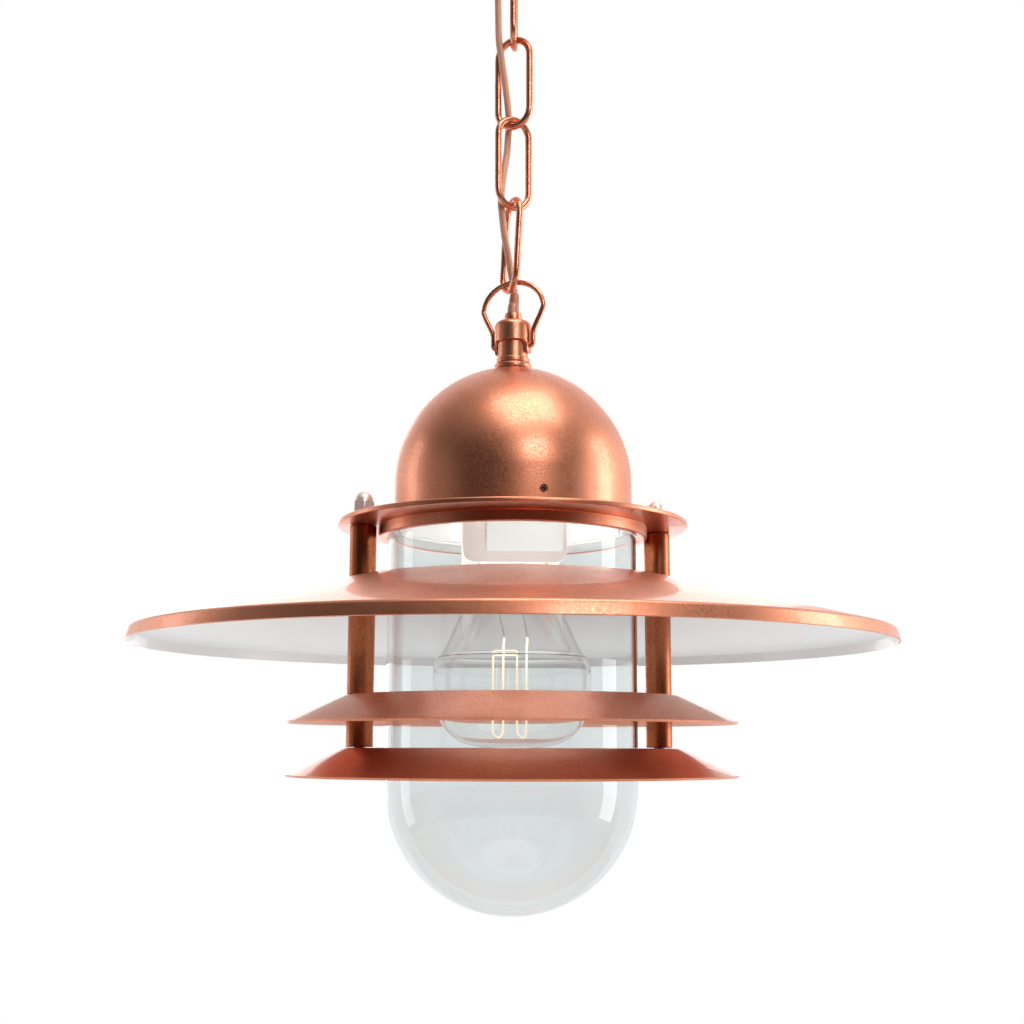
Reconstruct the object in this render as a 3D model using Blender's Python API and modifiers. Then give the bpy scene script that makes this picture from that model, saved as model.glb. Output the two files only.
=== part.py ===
"""Hanging lantern: a dome over a clear glass jar, with a wide shade and two louvres, hung on a chain.

Metres, +Z up. The origin is the middle of the ceiling plate's top face and everything hangs below it.
The two posts stand on the X axis.
"""

import math

import bpy
import bmesh
from mathutils import Matrix, Vector

CLEARANCE = 0.0003  # between pieces that touch, and round pieces that fit in each other
ROUND_STEPS = 32  # facets of a large round piece
SMALL_STEPS = 16  # facets of a small round piece
SHEET = 0.0012  # copper sheet of the dome, the shades and the canopy

# Ceiling end
CANOPY_RADIUS = 0.055
CANOPY_HEIGHT = 0.038
CANOPY_FILLET = 0.012
CEILING_PLATE_RADIUS = 0.038
CEILING_PLATE_THICKNESS = 0.0025
BOSS_RADIUS = 0.009
BOSS_LENGTH = 0.0115
SHANK_RADIUS = 0.004
HOOK_WIRE = 0.005
HOOK_EYE_RADIUS = 0.010
HOOK_EYE_DROP = 0.0583  # the ceiling to the middle of the hook's eye
HOOK_YAW = -12.0
LOCKNUT_ACROSS = 0.013
LOCKNUT_HEIGHT = 0.0065
CANOPY_RING_RADIUS = 0.009
CANOPY_RING_HEIGHT = 0.0052
GROMMET_FLANGE_RADIUS = 0.0055
TERMINAL_SIZE = (0.022, 0.018, 0.012)
TERMINAL_X = -0.021

# Chain, from the hook down to the bail
LINK_WIRE = 0.0038
LINK_WIDTH = 0.0237
LINK_PITCH = 0.0476
LINK_YAWS = {4: 78.0, 3: -38.0, 2: 22.0, 1: -78.0}
LOWEST_LINK_LEAN = (-0.0022, 0.0015)  # the foot of the lowest link, to the side of its head

# Bail and neck
BAIL_WIRE = 0.0029
BAIL_HALF_WIDTH = 0.0180
BAIL_SHOULDER_DROP = 0.0156  # the top of the bail to its widest place
BAIL_HEIGHT = 0.0368  # the pivot to the top of the bail, along the wire's middle
BAIL_LEG_OUT = 0.0120
BAIL_YAW = -35.0
BAIL_SEAT_GAP = 0.0007  # between the bail and the lowest link, which cross aslant
SADDLE_RADIUS = 0.0101
SADDLE_WALL = 0.0015
SADDLE_HEIGHT = 0.0185
EAR_DROP = 0.0040  # the pivot down to the ears' lower ends
EAR_HALF_WIDTH = 0.0028
EAR_HEIGHT = 0.0065  # from the ears' lower ends to the cap's edge between them
EAR_FILLET = 0.0030
NECK_RADIUS = 0.00825
NECK_BORE_RADIUS = 0.0045
NECK_GAP = 0.0088  # the ears' lower ends to the dome's crown
GLAND_RADIUS = 0.0049
GLAND_HEIGHT = 0.0042
RELIEF_FOOT_RADIUS = 0.0034
RELIEF_ROOM = 0.0005  # round the relief in the gland, where it starts to lean
RELIEF_TIP_RADIUS = 0.00275
RELIEF_LENGTH = 0.0115  # above the gland
CORD_DIAMETER = 0.0038

# Dome, top plate and glass
DOME_RADIUS = 0.0643
DOME_SKIRT = 0.0211
PLATE_RADIUS = 0.0934
PLATE_THICKNESS = 0.0025
SPIGOT_HEIGHT = 0.0147
GRUB_HEIGHT = 0.0093  # above the plate
GRUB_RADIUS = 0.0020
GRUB_LENGTH = 0.0032
GRUB_FIRST_ANGLE = -86.0
JAR_RADIUS = 0.0664
JAR_WALL = 0.0030
JAR_DEPTH = 0.1340  # rim to the middle of the round bottom
COLLAR_WALL = 0.0048
COLLAR_DEPTH = 0.0058
GASKET_THICKNESS = 0.0012

# Shades and posts
SHADE_RADIUS = 0.2000
SHADE_LIP = 0.0062
SHADE_DROP = 0.0275
ANNULUS_OUTER = 0.0875
ANNULUS_INNER = 0.0700
LOUVRE_RADIUS = 0.1182
LOUVRE_DROP = 0.0136
POST_CIRCLE = 0.0800
SLEEVE_RADIUS = 0.0070
SLEEVE_LENGTHS = (0.0285, 0.0580, 0.0252)
ROD_RADIUS = 0.0030
NUT_ACROSS = 0.0105
ACORN_HEX = 0.0088
ACORN_HEIGHT = 0.0140
WASHER_RADIUS = 0.0064
WASHER_THICKNESS = 0.0014
LOWER_NUT_HEIGHT = 0.0050

# Lamp
BRACKET_WIDTH = 0.0540
BRACKET_DEPTH = 0.0495
BRACKET_SHEET = 0.0015
BRACKET_WEB_DROP = 0.0315  # the dome's crown to the top of the bracket's web
BRACKET_LEG = 0.0775
BRACKET_YAW = -6.8
LABEL_SIZE = (0.0395, 0.0155, 0.0005)
LABEL_PLACE = (0.0049, 0.0136)  # middle of the plate: sideways, and above the leg's lower end
HOLDER_RADIUS = 0.0210
HOLDER_LENGTH = 0.0557
CAP_RADIUS = 0.0133
CAP_LENGTH = 0.0270
BULB_RADIUS = 0.0420
BULB_WALL = 0.0008
BULB_LENGTH = 0.1218  # the cap's lower edge to the bulb's end
FILAMENT_RADIUS = 0.0005
LEAD_RADIUS = 0.00045


def empty_scene():
    for obj in list(bpy.data.objects):
        bpy.data.objects.remove(obj, do_unlink=True)


def new_collection(name):
    made = bpy.data.collections.new(name)
    bpy.context.scene.collection.children.link(made)
    return made


empty_scene()
PARTS = new_collection("hanging_lantern")
CUTTERS = new_collection("cutters")


def material(name, colour, roughness, metallic=0.0, transmission=0.0):
    made = bpy.data.materials.new(name)
    made.use_nodes = True
    shader = made.node_tree.nodes["Principled BSDF"]
    shader.inputs["Base Color"].default_value = (*colour, 1.0)
    shader.inputs["Roughness"].default_value = roughness
    shader.inputs["Metallic"].default_value = metallic
    shader.inputs["Transmission Weight"].default_value = transmission
    made.diffuse_color = (*colour, 1.0)
    return made


COPPER = material("copper", (0.78, 0.42, 0.29), 0.34, 1.0)
POLISHED_COPPER = material("polished_copper", (0.90, 0.66, 0.55), 0.18, 1.0)
STEEL = material("zinc_steel", (0.62, 0.62, 0.60), 0.35, 1.0)
BRASS = material("brass", (0.78, 0.62, 0.30), 0.30, 1.0)
GLASS = material("clear_glass", (0.93, 0.95, 0.95), 0.02, 0.0, 1.0)
RUBBER = material("black_rubber", (0.03, 0.03, 0.03), 0.70)
COPPER_RUBBER = material("copper_rubber", (0.52, 0.24, 0.15), 0.45)
SILICONE = material("white_silicone", (0.78, 0.78, 0.76), 0.45)
PORCELAIN = material("porcelain", (0.85, 0.84, 0.80), 0.25)
LABEL = material("label_white", (0.90, 0.90, 0.88), 0.45)
SLEEVING = material("copper_cord", (0.72, 0.42, 0.30), 0.60)
TUNGSTEN = material("filament_glow", (1.00, 0.86, 0.62), 0.50)


def add(name, data, where=(0.0, 0.0, 0.0), look=None):
    """A new object. Without a look it is a cutter, which isn't part of the lantern."""
    obj = bpy.data.objects.new(name, data)
    obj.location = where
    if look is None:
        CUTTERS.objects.link(obj)
        obj.hide_render = True
        obj.display_type = "WIRE"
    else:
        PARTS.objects.link(obj)
        data.materials.append(look)
    return obj


def smooth(obj):
    obj.data.shade_smooth()
    obj.data.set_sharp_from_angle(angle=math.radians(35))


def turned(name, profile, look, closed=True, wall=0.0, steps=ROUND_STEPS, at=(0.0, 0.0)):
    """A profile of (radius, height) points turned about a vertical axis at the given place.

    It runs down the outer side from the top. An open one is a shell, which wall thickens inwards, or a
    solid whose two ends are on the axis.
    """
    data = bpy.data.meshes.new(name)
    count = len(profile)
    edges = [(i, i + 1) for i in range(count - 1)] + ([(count - 1, 0)] if closed else [])
    foot = profile[-1][1]
    data.from_pydata([(r, 0.0, z - foot) for r, z in profile], edges, [])
    obj = add(name, data, (at[0], at[1], foot), look)
    screw = obj.modifiers.new("turn", "SCREW")
    screw.steps = steps
    screw.render_steps = steps
    screw.use_merge_vertices = True
    screw.merge_threshold = 0.00001
    screw.use_smooth_shade = True
    if wall:
        solidify = obj.modifiers.new("wall", "SOLIDIFY")
        solidify.thickness = wall
        solidify.offset = -1.0
        solidify.use_even_offset = True
    return obj


def arc(middle, radius, start, end, count, squash=1.0):
    """Points (x, z) on a round or oval arc, from one angle to another in degrees."""
    angles = [math.radians(start + (end - start) * i / count) for i in range(count + 1)]
    return [(middle[0] + radius * math.cos(a), middle[1] + squash * radius * math.sin(a)) for a in angles]


def cylinder(name, radius, length, where, look=None, facets=SMALL_STEPS, turn=(0.0, 0.0, 0.0)):
    """A cylinder about its middle, along Z unless it is turned."""
    data = bpy.data.meshes.new(name)
    body = bmesh.new()
    bmesh.ops.create_cone(
        body, cap_ends=True, segments=facets, radius1=radius, radius2=radius, depth=length
    )
    body.to_mesh(data)
    body.free()
    obj = add(name, data, where, look)
    obj.rotation_euler = [math.radians(angle) for angle in turn]
    return obj


def hexagon(name, across, low, high, look=None, at=(0.0, 0.0)):
    radius = across / math.sqrt(3.0)
    return cylinder(name, radius, high - low, (at[0], at[1], (low + high) / 2), look, 6)


def boolean(obj, tool, operation="DIFFERENCE"):
    step = obj.modifiers.new(operation.lower(), "BOOLEAN")
    step.operation = operation
    step.object = tool
    step.solver = "EXACT"


def drill(obj, radius, length, where, turn=(0.0, 0.0, 0.0), facets=SMALL_STEPS):
    boolean(obj, cylinder("hole_in_" + obj.name, radius, length, where, None, facets, turn))


def curve_object(name, points, radius, look, weights=None, closed=False, sides=2):
    """A round wire through points. weights scale its radius at each point."""
    data = bpy.data.curves.new(name, "CURVE")
    data.dimensions = "3D"
    data.bevel_depth = radius
    data.bevel_resolution = sides
    data.use_fill_caps = not closed
    line = data.splines.new("POLY")
    line.points.add(len(points) - 1)
    for i, point in enumerate(points):
        line.points[i].co = (*point, 1.0)
        line.points[i].radius = weights[i] if weights else 1.0
    line.use_cyclic_u = closed
    line.use_smooth = True
    return add(name, data, (0.0, 0.0, 0.0), look)


def outline_object(name, points, thickness, look, where, turn):
    """A flat outline filled and thickened about its own plane."""
    data = bpy.data.curves.new(name, "CURVE")
    data.dimensions = "2D"
    data.fill_mode = "BOTH"
    data.extrude = thickness / 2
    line = data.splines.new("POLY")
    line.points.add(len(points) - 1)
    for i, (x, y) in enumerate(points):
        line.points[i].co = (x, y, 0.0, 1.0)
    line.use_cyclic_u = True
    obj = add(name, data, where, look)
    obj.rotation_euler = [math.radians(angle) for angle in turn]
    return obj


def as_mesh(obj):
    """The same object as a mesh with its caps welded, so that it can be cut or joined."""
    bpy.context.view_layer.update()
    seen = obj.evaluated_get(bpy.context.evaluated_depsgraph_get())
    data = bpy.data.meshes.new_from_object(seen)
    body = bmesh.new()
    body.from_mesh(data)
    bmesh.ops.remove_doubles(body, verts=body.verts, dist=0.000001)
    bmesh.ops.recalc_face_normals(body, faces=body.faces)
    body.to_mesh(data)
    body.free()
    name, place, is_cutter = obj.name, obj.matrix_world.copy(), obj.hide_render
    bpy.data.objects.remove(obj, do_unlink=True)
    made = bpy.data.objects.new(name, data)
    made.matrix_world = place
    (CUTTERS if is_cutter else PARTS).objects.link(made)
    made.hide_render = is_cutter
    made.display_type = "WIRE" if is_cutter else "TEXTURED"
    return made


def rounded(corners, count=4):
    """An outline from (x, y, radius) corners, each corner with a radius drawn as an arc."""
    points = []
    for i, (x, y, radius) in enumerate(corners):
        here = Vector((x, y))
        back = (Vector(corners[i - 1][:2]) - here).normalized()
        on = (Vector(corners[(i + 1) % len(corners)][:2]) - here).normalized()
        if radius == 0.0:
            points.append((x, y))
            continue
        half = back.angle(on) / 2
        start, end = here + back * radius / math.tan(half), here + on * radius / math.tan(half)
        middle = here + (back + on).normalized() * radius / math.sin(half)
        first, last = start - middle, end - middle
        for k in range(count + 1):
            spoke = first.lerp(last, k / count).normalized() * radius
            points.append(tuple(middle + spoke))
    return points


def pivot(name, where, yaw=0.0):
    """An empty on a joint's axis, which lies along its own X."""
    obj = bpy.data.objects.new(name, None)
    obj.empty_display_size = 0.02
    obj.location = where
    obj.rotation_euler = (0.0, 0.0, math.radians(yaw))
    PARTS.objects.link(obj)
    return obj


def hang(parent, *children):
    """Parent pieces to a pivot and leave them where they are."""
    bpy.context.view_layer.update()
    for child in children:
        place = child.matrix_world.copy()
        child.parent = parent
        child.matrix_parent_inverse = parent.matrix_world.inverted()
        child.matrix_world = place


# The cord's route, from the terminal block down to the strain relief, and smooth between its points.
CORD_ROUTE = (
    (-0.0181, -0.0049, -0.0150),
    (-0.0181, -0.0049, -0.0310),
    (-0.0177, -0.0050, -0.0420),
    (-0.0146, -0.0049, -0.0560),
    (-0.0116, -0.0036, -0.0700),
    (-0.0096, -0.0016, -0.0870),
    (-0.0087, -0.0003, -0.1110),
    (-0.0067, 0.0008, -0.1240),
    (-0.0047, 0.0022, -0.1355),
    (-0.0028, 0.0042, -0.1474),
    (-0.0015, 0.0064, -0.1582),
    (-0.0020, 0.0066, -0.1653),
    (-0.0030, 0.0054, -0.1771),
    (-0.0049, 0.0035, -0.1890),
    (-0.0067, 0.0020, -0.2050),
    (-0.0058, 0.0027, -0.2150),
    (-0.0044, 0.0040, -0.2250),
    (-0.0022, 0.0051, -0.2355),
    (-0.0002, 0.0057, -0.2470),
    (0.0016, 0.0055, -0.2565),
    (0.0012, 0.0035, -0.2632),
    (0.0001, 0.0003, -0.2690),
    (0.0000, 0.0000, -0.2755),
    (0.0000, 0.0000, -0.2820),
)
CORD_LEVELS = (-0.0155, -0.0890, -0.1370, -0.1850, -0.2150, -0.2450, -0.2780)
CORD_SPACING = 0.005
CORD_RADIUS = CORD_DIAMETER / 2


def smooth_route(points, parts=12):
    """Catmull-Rom curve. Between p1 and p2 at t it is half of
    2 p1 + (p2 - p0) t + (2 p0 - 5 p1 + 4 p2 - p3) t2 + (3 p1 - p0 - 3 p2 + p3) t3.
    """
    given = [Vector(point) for point in points]
    ends = [given[0] * 2 - given[1], *given, given[-1] * 2 - given[-2]]
    line = []
    for p0, p1, p2, p3 in zip(ends, ends[1:], ends[2:], ends[3:]):
        for k in range(parts):
            t = k / parts
            square = (p0 * 2 - p1 * 5 + p2 * 4 - p3) * t * t
            cube = (p1 * 3 - p0 - p2 * 3 + p3) * t * t * t
            line.append((p1 * 2 + (p2 - p0) * t + square + cube) / 2)
    line.append(given[-1])
    return line


def at_level(line, z):
    """The point of a falling line at this height."""
    for a, b in zip(line, line[1:]):
        if b.z <= z <= a.z:
            return a.lerp(b, (a.z - z) / (a.z - b.z))
    raise ValueError("the line doesn't reach this height")


def stretch(line, top, foot, spacing):
    """Points of a falling line between two heights, evenly spaced in height."""
    count = max(3, round((top - foot) / spacing))
    return [at_level(line, top + (foot - top) * i / count) for i in range(count + 1)]


CORD_LINE = smooth_route(CORD_ROUTE)

# ---------------------------------------------------------------- ceiling end
plate_foot = -CEILING_PLATE_THICKNESS
boss_foot = plate_foot - BOSS_LENGTH
shank_hole = SHANK_RADIUS + CLEARANCE
blind_end = -0.0033
ceiling_plate = turned(
    "ceiling_plate",
    [
        (0.0, 0.0),
        (CEILING_PLATE_RADIUS, 0.0),
        (CEILING_PLATE_RADIUS, plate_foot),
        (BOSS_RADIUS, plate_foot),
        (BOSS_RADIUS, boss_foot),
        (shank_hole, boss_foot),
        (shank_hole, blind_end),
        (0.0, blind_end),
    ],
    STEEL,
    closed=False,
    steps=SMALL_STEPS,
)
for side in (-1, 1):
    drill(ceiling_plate, 0.0025, 0.02, (0.0, side * 0.75 * CEILING_PLATE_RADIUS, 0.0))
drill(ceiling_plate, 0.006, 0.02, (0.6 * CEILING_PLATE_RADIUS, 0.0, 0.0))

eye_z = -HOOK_EYE_DROP
shank_end = eye_z + HOOK_EYE_RADIUS + 0.0028
hook_line = [
    (0.0, blind_end - CLEARANCE),
    (0.0, shank_end + 0.0015),
    (0.0, shank_end),
    (0.0014, shank_end - 0.0026),
    *arc((0.0, eye_z), HOOK_EYE_RADIUS, 64.0, -210.0, 18),
]
hook_swell = SHANK_RADIUS / (HOOK_WIRE / 2)
ceiling_hook = curve_object(
    "ceiling_hook",
    [(x, 0.0, z) for x, z in hook_line],
    HOOK_WIRE / 2,
    COPPER,
    [hook_swell, hook_swell] + [1.05] + [1.0] * (len(hook_line) - 3),
    sides=3,
)
ceiling_hook.rotation_euler = (0.0, 0.0, math.radians(HOOK_YAW))

nut_top = boss_foot - CLEARANCE
hook_locknut = hexagon("hook_locknut", LOCKNUT_ACROSS, nut_top - LOCKNUT_HEIGHT, nut_top, STEEL)
drill(hook_locknut, shank_hole, 0.03, (0.0, 0.0, nut_top))

canopy_foot = -CANOPY_HEIGHT
fillet_centre = (CANOPY_RADIUS - CANOPY_FILLET, canopy_foot + CANOPY_FILLET)
canopy = turned(
    "canopy",
    [(CANOPY_RADIUS, 0.0), *arc(fillet_centre, CANOPY_FILLET, 0.0, -90.0, 6), (shank_hole, canopy_foot)],
    COPPER,
    closed=False,
    wall=SHEET,
)

ring_top = canopy_foot - CLEARANCE
ring_foot = ring_top - CANOPY_RING_HEIGHT
turned(
    "canopy_ring",
    [
        (CANOPY_RING_RADIUS - 0.0006, ring_top),
        (CANOPY_RING_RADIUS, ring_top - 0.0006),
        (CANOPY_RING_RADIUS, ring_foot + 0.0010),
        (CANOPY_RING_RADIUS - 0.0010, ring_foot),
        (shank_hole, ring_foot),
        (shank_hole, ring_top),
    ],
    COPPER,
    steps=SMALL_STEPS,
)

cord_hole = at_level(CORD_LINE, canopy_foot)
grommet_body = CORD_RADIUS + 0.0021
grommet_hole = grommet_body + CLEARANCE
drill(canopy, grommet_hole, 0.01, (cord_hole.x, cord_hole.y, canopy_foot))
wall_top = canopy_foot + SHEET
cord_lean = 0.0006  # room for the cord where it leans in the grommet
turned(
    "canopy_grommet",
    [
        (GROMMET_FLANGE_RADIUS, wall_top + CLEARANCE + 0.0012),
        (GROMMET_FLANGE_RADIUS, wall_top + CLEARANCE),
        (grommet_body, wall_top + CLEARANCE),
        (grommet_body, canopy_foot - CLEARANCE),
        (GROMMET_FLANGE_RADIUS, canopy_foot - CLEARANCE),
        (GROMMET_FLANGE_RADIUS - 0.0004, canopy_foot - CLEARANCE - 0.0014),
        (CORD_RADIUS + cord_lean, canopy_foot - CLEARANCE - 0.0014),
        (CORD_RADIUS + cord_lean, wall_top + CLEARANCE + 0.0012),
    ],
    RUBBER,
    steps=SMALL_STEPS,
    at=(cord_hole.x, cord_hole.y),
)

terminal_top = plate_foot - CLEARANCE
terminal_mesh = bpy.data.meshes.new("terminal_block")
terminal_body = bmesh.new()
bmesh.ops.create_cube(terminal_body, size=1.0)
bmesh.ops.scale(terminal_body, vec=TERMINAL_SIZE, verts=terminal_body.verts)
terminal_body.to_mesh(terminal_mesh)
terminal_body.free()
terminal_place = (TERMINAL_X, CORD_ROUTE[0][1], terminal_top - TERMINAL_SIZE[2] / 2)
terminal_block = add("terminal_block", terminal_mesh, terminal_place, PORCELAIN)
terminal_edges = terminal_block.modifiers.new("edges", "BEVEL")
terminal_edges.width = 0.0008
terminal_edges.segments = 2
for offset in (-0.006, 0.0, 0.006):
    where = (TERMINAL_X - TERMINAL_SIZE[0] / 2, terminal_block.location.y + offset, terminal_block.location.z)
    drill(terminal_block, 0.0016, 0.012, where, (0.0, 90.0, 0.0), 12)

# ---------------------------------------------------------------- chain
link_wire_radius = LINK_WIRE / 2
link_bend = LINK_WIDTH / 2 - link_wire_radius
inner_length = LINK_PITCH + CLEARANCE


def link_points(length):
    """The middle line of a link: two half circles and two straights, with its foot's bar at the origin."""
    low, high = link_bend, length + LINK_WIRE - link_bend
    foot = arc((0.0, low), link_bend, 180.0, 360.0, 10)
    head = arc((0.0, high), link_bend, 0.0, 180.0, 10)
    return [(x, 0.0, z) for x, z in foot + head]


def chain_link(number, foot, head, yaw):
    """A link whose foot's bar passes through foot, leaning so that its head is over head."""
    lean = (Vector(head) - Vector(foot)).normalized()
    across = Vector((math.cos(math.radians(yaw)), math.sin(math.radians(yaw)), 0.0))
    across = (across - lean * across.dot(lean)).normalized()
    obj = curve_object(
        f"chain_link_{number}", link_points(inner_length), link_wire_radius, COPPER, closed=True
    )
    frame = Matrix((across, lean.cross(across), lean)).transposed().to_4x4()
    obj.matrix_world = Matrix.Translation(foot) @ frame
    return obj


hook_seat = eye_z - HOOK_EYE_RADIUS + HOOK_WIRE / 2
hook_bar = Vector((0.0, 0.0, hook_seat - HOOK_WIRE / 2))
link_4_foot = Vector((0.0, 0.0, hook_seat - LINK_PITCH - link_wire_radius))
link_3_foot = link_4_foot - Vector((0.0, 0.0, LINK_PITCH))
link_2_foot = link_3_foot - Vector((0.0, 0.0, LINK_PITCH))
lean_side = Vector((*LOWEST_LINK_LEAN, 0.0))
lean_drop = math.sqrt(LINK_PITCH**2 - lean_side.length_squared)
link_1_foot = link_2_foot + lean_side - Vector((0.0, 0.0, lean_drop))
link_4 = chain_link(4, link_4_foot, hook_bar, LINK_YAWS[4])
link_3 = chain_link(3, link_3_foot, link_4_foot, LINK_YAWS[3])
link_2 = chain_link(2, link_2_foot, link_3_foot, LINK_YAWS[2])
link_1 = chain_link(1, link_1_foot, link_2_foot, LINK_YAWS[1])

# ---------------------------------------------------------------- cord
cord = []
for number, (top, foot) in enumerate(zip(CORD_LEVELS, CORD_LEVELS[1:]), 1):
    points = stretch(CORD_LINE, top - CLEARANCE / 2, foot + CLEARANCE / 2, CORD_SPACING)
    cord.append(curve_object(f"cord_{number}", points, CORD_RADIUS, SLEEVING))

# ---------------------------------------------------------------- bail and neck
bail_wire_radius = BAIL_WIRE / 2
bail_curve = BAIL_HALF_WIDTH**2 / BAIL_SHOULDER_DROP  # the bend radius at the top of the bail
arch_fall = lean_side.length_squared / (2 * bail_curve)  # how much lower the bail is where the link sits
bail_top = link_1_foot.z + link_wire_radius + BAIL_SEAT_GAP + bail_wire_radius + arch_fall
pivot_z = bail_top - BAIL_HEIGHT
ears_foot = pivot_z - EAR_DROP
saddle_top = ears_foot + SADDLE_HEIGHT
saddle_bore = NECK_RADIUS + CLEARANCE
pin_end = saddle_bore + 0.0002
corner = 0.0020

bail_squash = BAIL_SHOULDER_DROP / BAIL_HALF_WIDTH
bail_side = [
    (pin_end, pivot_z),
    *arc((BAIL_LEG_OUT - corner, pivot_z + corner), corner, -90.0, 0.0, 4),
    (BAIL_LEG_OUT, pivot_z + 0.0070),
    (BAIL_LEG_OUT + 0.0008, pivot_z + 0.0100),
    (BAIL_LEG_OUT + 0.0025, pivot_z + 0.0135),
    (BAIL_LEG_OUT + 0.0042, pivot_z + 0.0168),
    *arc((0.0, bail_top - BAIL_SHOULDER_DROP), BAIL_HALF_WIDTH, 0.0, 84.0, 10, bail_squash),
    (0.0, bail_top),
]
bail_line = bail_side + [(-x, z) for x, z in bail_side[-2::-1]]
bail = curve_object("bail", [(x, 0.0, z) for x, z in bail_line], bail_wire_radius, COPPER)
bail.rotation_euler = (0.0, 0.0, math.radians(BAIL_YAW))

gland_hole = RELIEF_FOOT_RADIUS + RELIEF_ROOM
saddle = turned(
    "saddle",
    [
        (gland_hole, saddle_top),
        *arc((SADDLE_RADIUS - 0.0035, saddle_top - 0.0035), 0.0035, 90.0, 0.0, 5),
        (SADDLE_RADIUS, ears_foot),
        (saddle_bore, ears_foot),
        (saddle_bore, saddle_top - SADDLE_WALL),
        (gland_hole, saddle_top - SADDLE_WALL),
    ],
    COPPER,
    steps=ROUND_STEPS,
)
ear_turn = (90.0, 0.0, 90.0 + BAIL_YAW)
for side in (-1, 1):
    inner_edge, outer_edge = side * EAR_HALF_WIDTH, side * 2 * SADDLE_RADIUS
    below, edge = ears_foot - EAR_FILLET, ears_foot + EAR_HEIGHT
    gap_outline = rounded(
        [
            (inner_edge, below, 0.0),
            (outer_edge, below, 0.0),
            (outer_edge, edge, 0.0),
            (inner_edge, edge, EAR_FILLET),
        ]
    )
    gap_name = "gap_front" if side < 0 else "gap_back"
    gap = outline_object(gap_name, gap_outline, 4 * SADDLE_RADIUS, None, (0.0, 0.0, 0.0), ear_turn)
    boolean(saddle, as_mesh(gap))
drill(saddle, bail_wire_radius + 0.0004, 0.03, (0.0, 0.0, pivot_z), (0.0, 90.0, BAIL_YAW), 12)

gland_foot = saddle_top + CLEARANCE
gland_top = gland_foot + GLAND_HEIGHT
turned(
    "gland_nut",
    [
        (GLAND_RADIUS - 0.0005, gland_top),
        (GLAND_RADIUS, gland_top - 0.0005),
        (GLAND_RADIUS, gland_foot + 0.0005),
        (GLAND_RADIUS - 0.0005, gland_foot),
        (gland_hole, gland_foot),
        (gland_hole, gland_top),
    ],
    COPPER,
    steps=SMALL_STEPS,
)
relief_top = gland_top + RELIEF_LENGTH
relief_foot = saddle_top - SADDLE_WALL - CLEARANCE
relief_line = stretch(CORD_LINE, relief_top, relief_foot, 0.0017)
relief_share = [min(1.0, (relief_top - p.z) / RELIEF_LENGTH) for p in relief_line]
relief_weights = [1.0 + (RELIEF_FOOT_RADIUS / RELIEF_TIP_RADIUS - 1.0) * share for share in relief_share]
strain_relief = as_mesh(
    curve_object("strain_relief", relief_line, RELIEF_TIP_RADIUS, COPPER_RUBBER, relief_weights, sides=3)
)
relief_bore = stretch(CORD_LINE, relief_top + 0.002, relief_foot - 0.002, 0.0017)
relief_tool = curve_object("relief_bore", relief_bore, CORD_RADIUS + CLEARANCE, None, sides=3)
boolean(strain_relief, as_mesh(relief_tool))

crown_z = ears_foot - NECK_GAP
web_top = crown_z - BRACKET_WEB_DROP
web_foot = web_top - BRACKET_SHEET
holder_top = web_foot - CLEARANCE
neck_hole = NECK_RADIUS + CLEARANCE
neck_top = saddle_top - SADDLE_WALL - 0.0020
neck_foot = holder_top - 0.0077
turned(
    "neck_tube",
    [
        (NECK_RADIUS, neck_top),
        (NECK_RADIUS, neck_foot),
        (NECK_BORE_RADIUS, neck_foot),
        (NECK_BORE_RADIUS, neck_top),
    ],
    COPPER,
)
turned(
    "neck_nut",
    [
        (0.0092, crown_z + 0.0062),
        (0.0092, crown_z + 0.0031),
        (0.0104, crown_z + 0.0028),
        (0.0104, crown_z),
        (neck_hole, crown_z),
        (neck_hole, crown_z + 0.0062),
    ],
    COPPER,
)
cylinder(
    "supply_lead",
    CORD_RADIUS,
    CORD_LEVELS[-1] - CLEARANCE - neck_foot,
    (0.0, 0.0, (CORD_LEVELS[-1] - CLEARANCE + neck_foot) / 2),
    SLEEVING,
    12,
)

# ---------------------------------------------------------------- dome and top plate
dome_middle = crown_z - DOME_RADIUS
dome_foot = dome_middle - DOME_SKIRT
crown_angle = math.degrees(math.acos(neck_hole / DOME_RADIUS))
dome = turned(
    "dome",
    [*arc((0.0, dome_middle), DOME_RADIUS, crown_angle, 0.0, 9), (DOME_RADIUS, dome_foot)],
    COPPER,
    closed=False,
    wall=SHEET,
)

plate_top = dome_foot - CLEARANCE
plate_low = plate_top - PLATE_THICKNESS
spigot_radius = DOME_RADIUS - SHEET - 2 * CLEARANCE
collar_bore = JAR_RADIUS + 0.0008
collar_radius = collar_bore + COLLAR_WALL
spigot_bore = spigot_radius - 0.0025
recess_top = plate_low + 0.0006
top_plate = turned(
    "top_plate",
    [
        (spigot_radius, plate_top + SPIGOT_HEIGHT),
        (spigot_radius, plate_top),
        (PLATE_RADIUS - 0.0008, plate_top),
        (PLATE_RADIUS, plate_top - 0.0007),
        (PLATE_RADIUS, plate_low + 0.0004),
        (PLATE_RADIUS - 0.0004, plate_low),
        (collar_radius, plate_low),
        (collar_radius, plate_low - COLLAR_DEPTH + 0.0006),
        (collar_radius - 0.0006, plate_low - COLLAR_DEPTH),
        (collar_bore + 0.0008, plate_low - COLLAR_DEPTH),
        (collar_bore, plate_low - COLLAR_DEPTH + 0.0010),
        (collar_bore, recess_top),
        (spigot_bore, recess_top),
        (spigot_bore, plate_top + SPIGOT_HEIGHT),
    ],
    COPPER,
)

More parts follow.
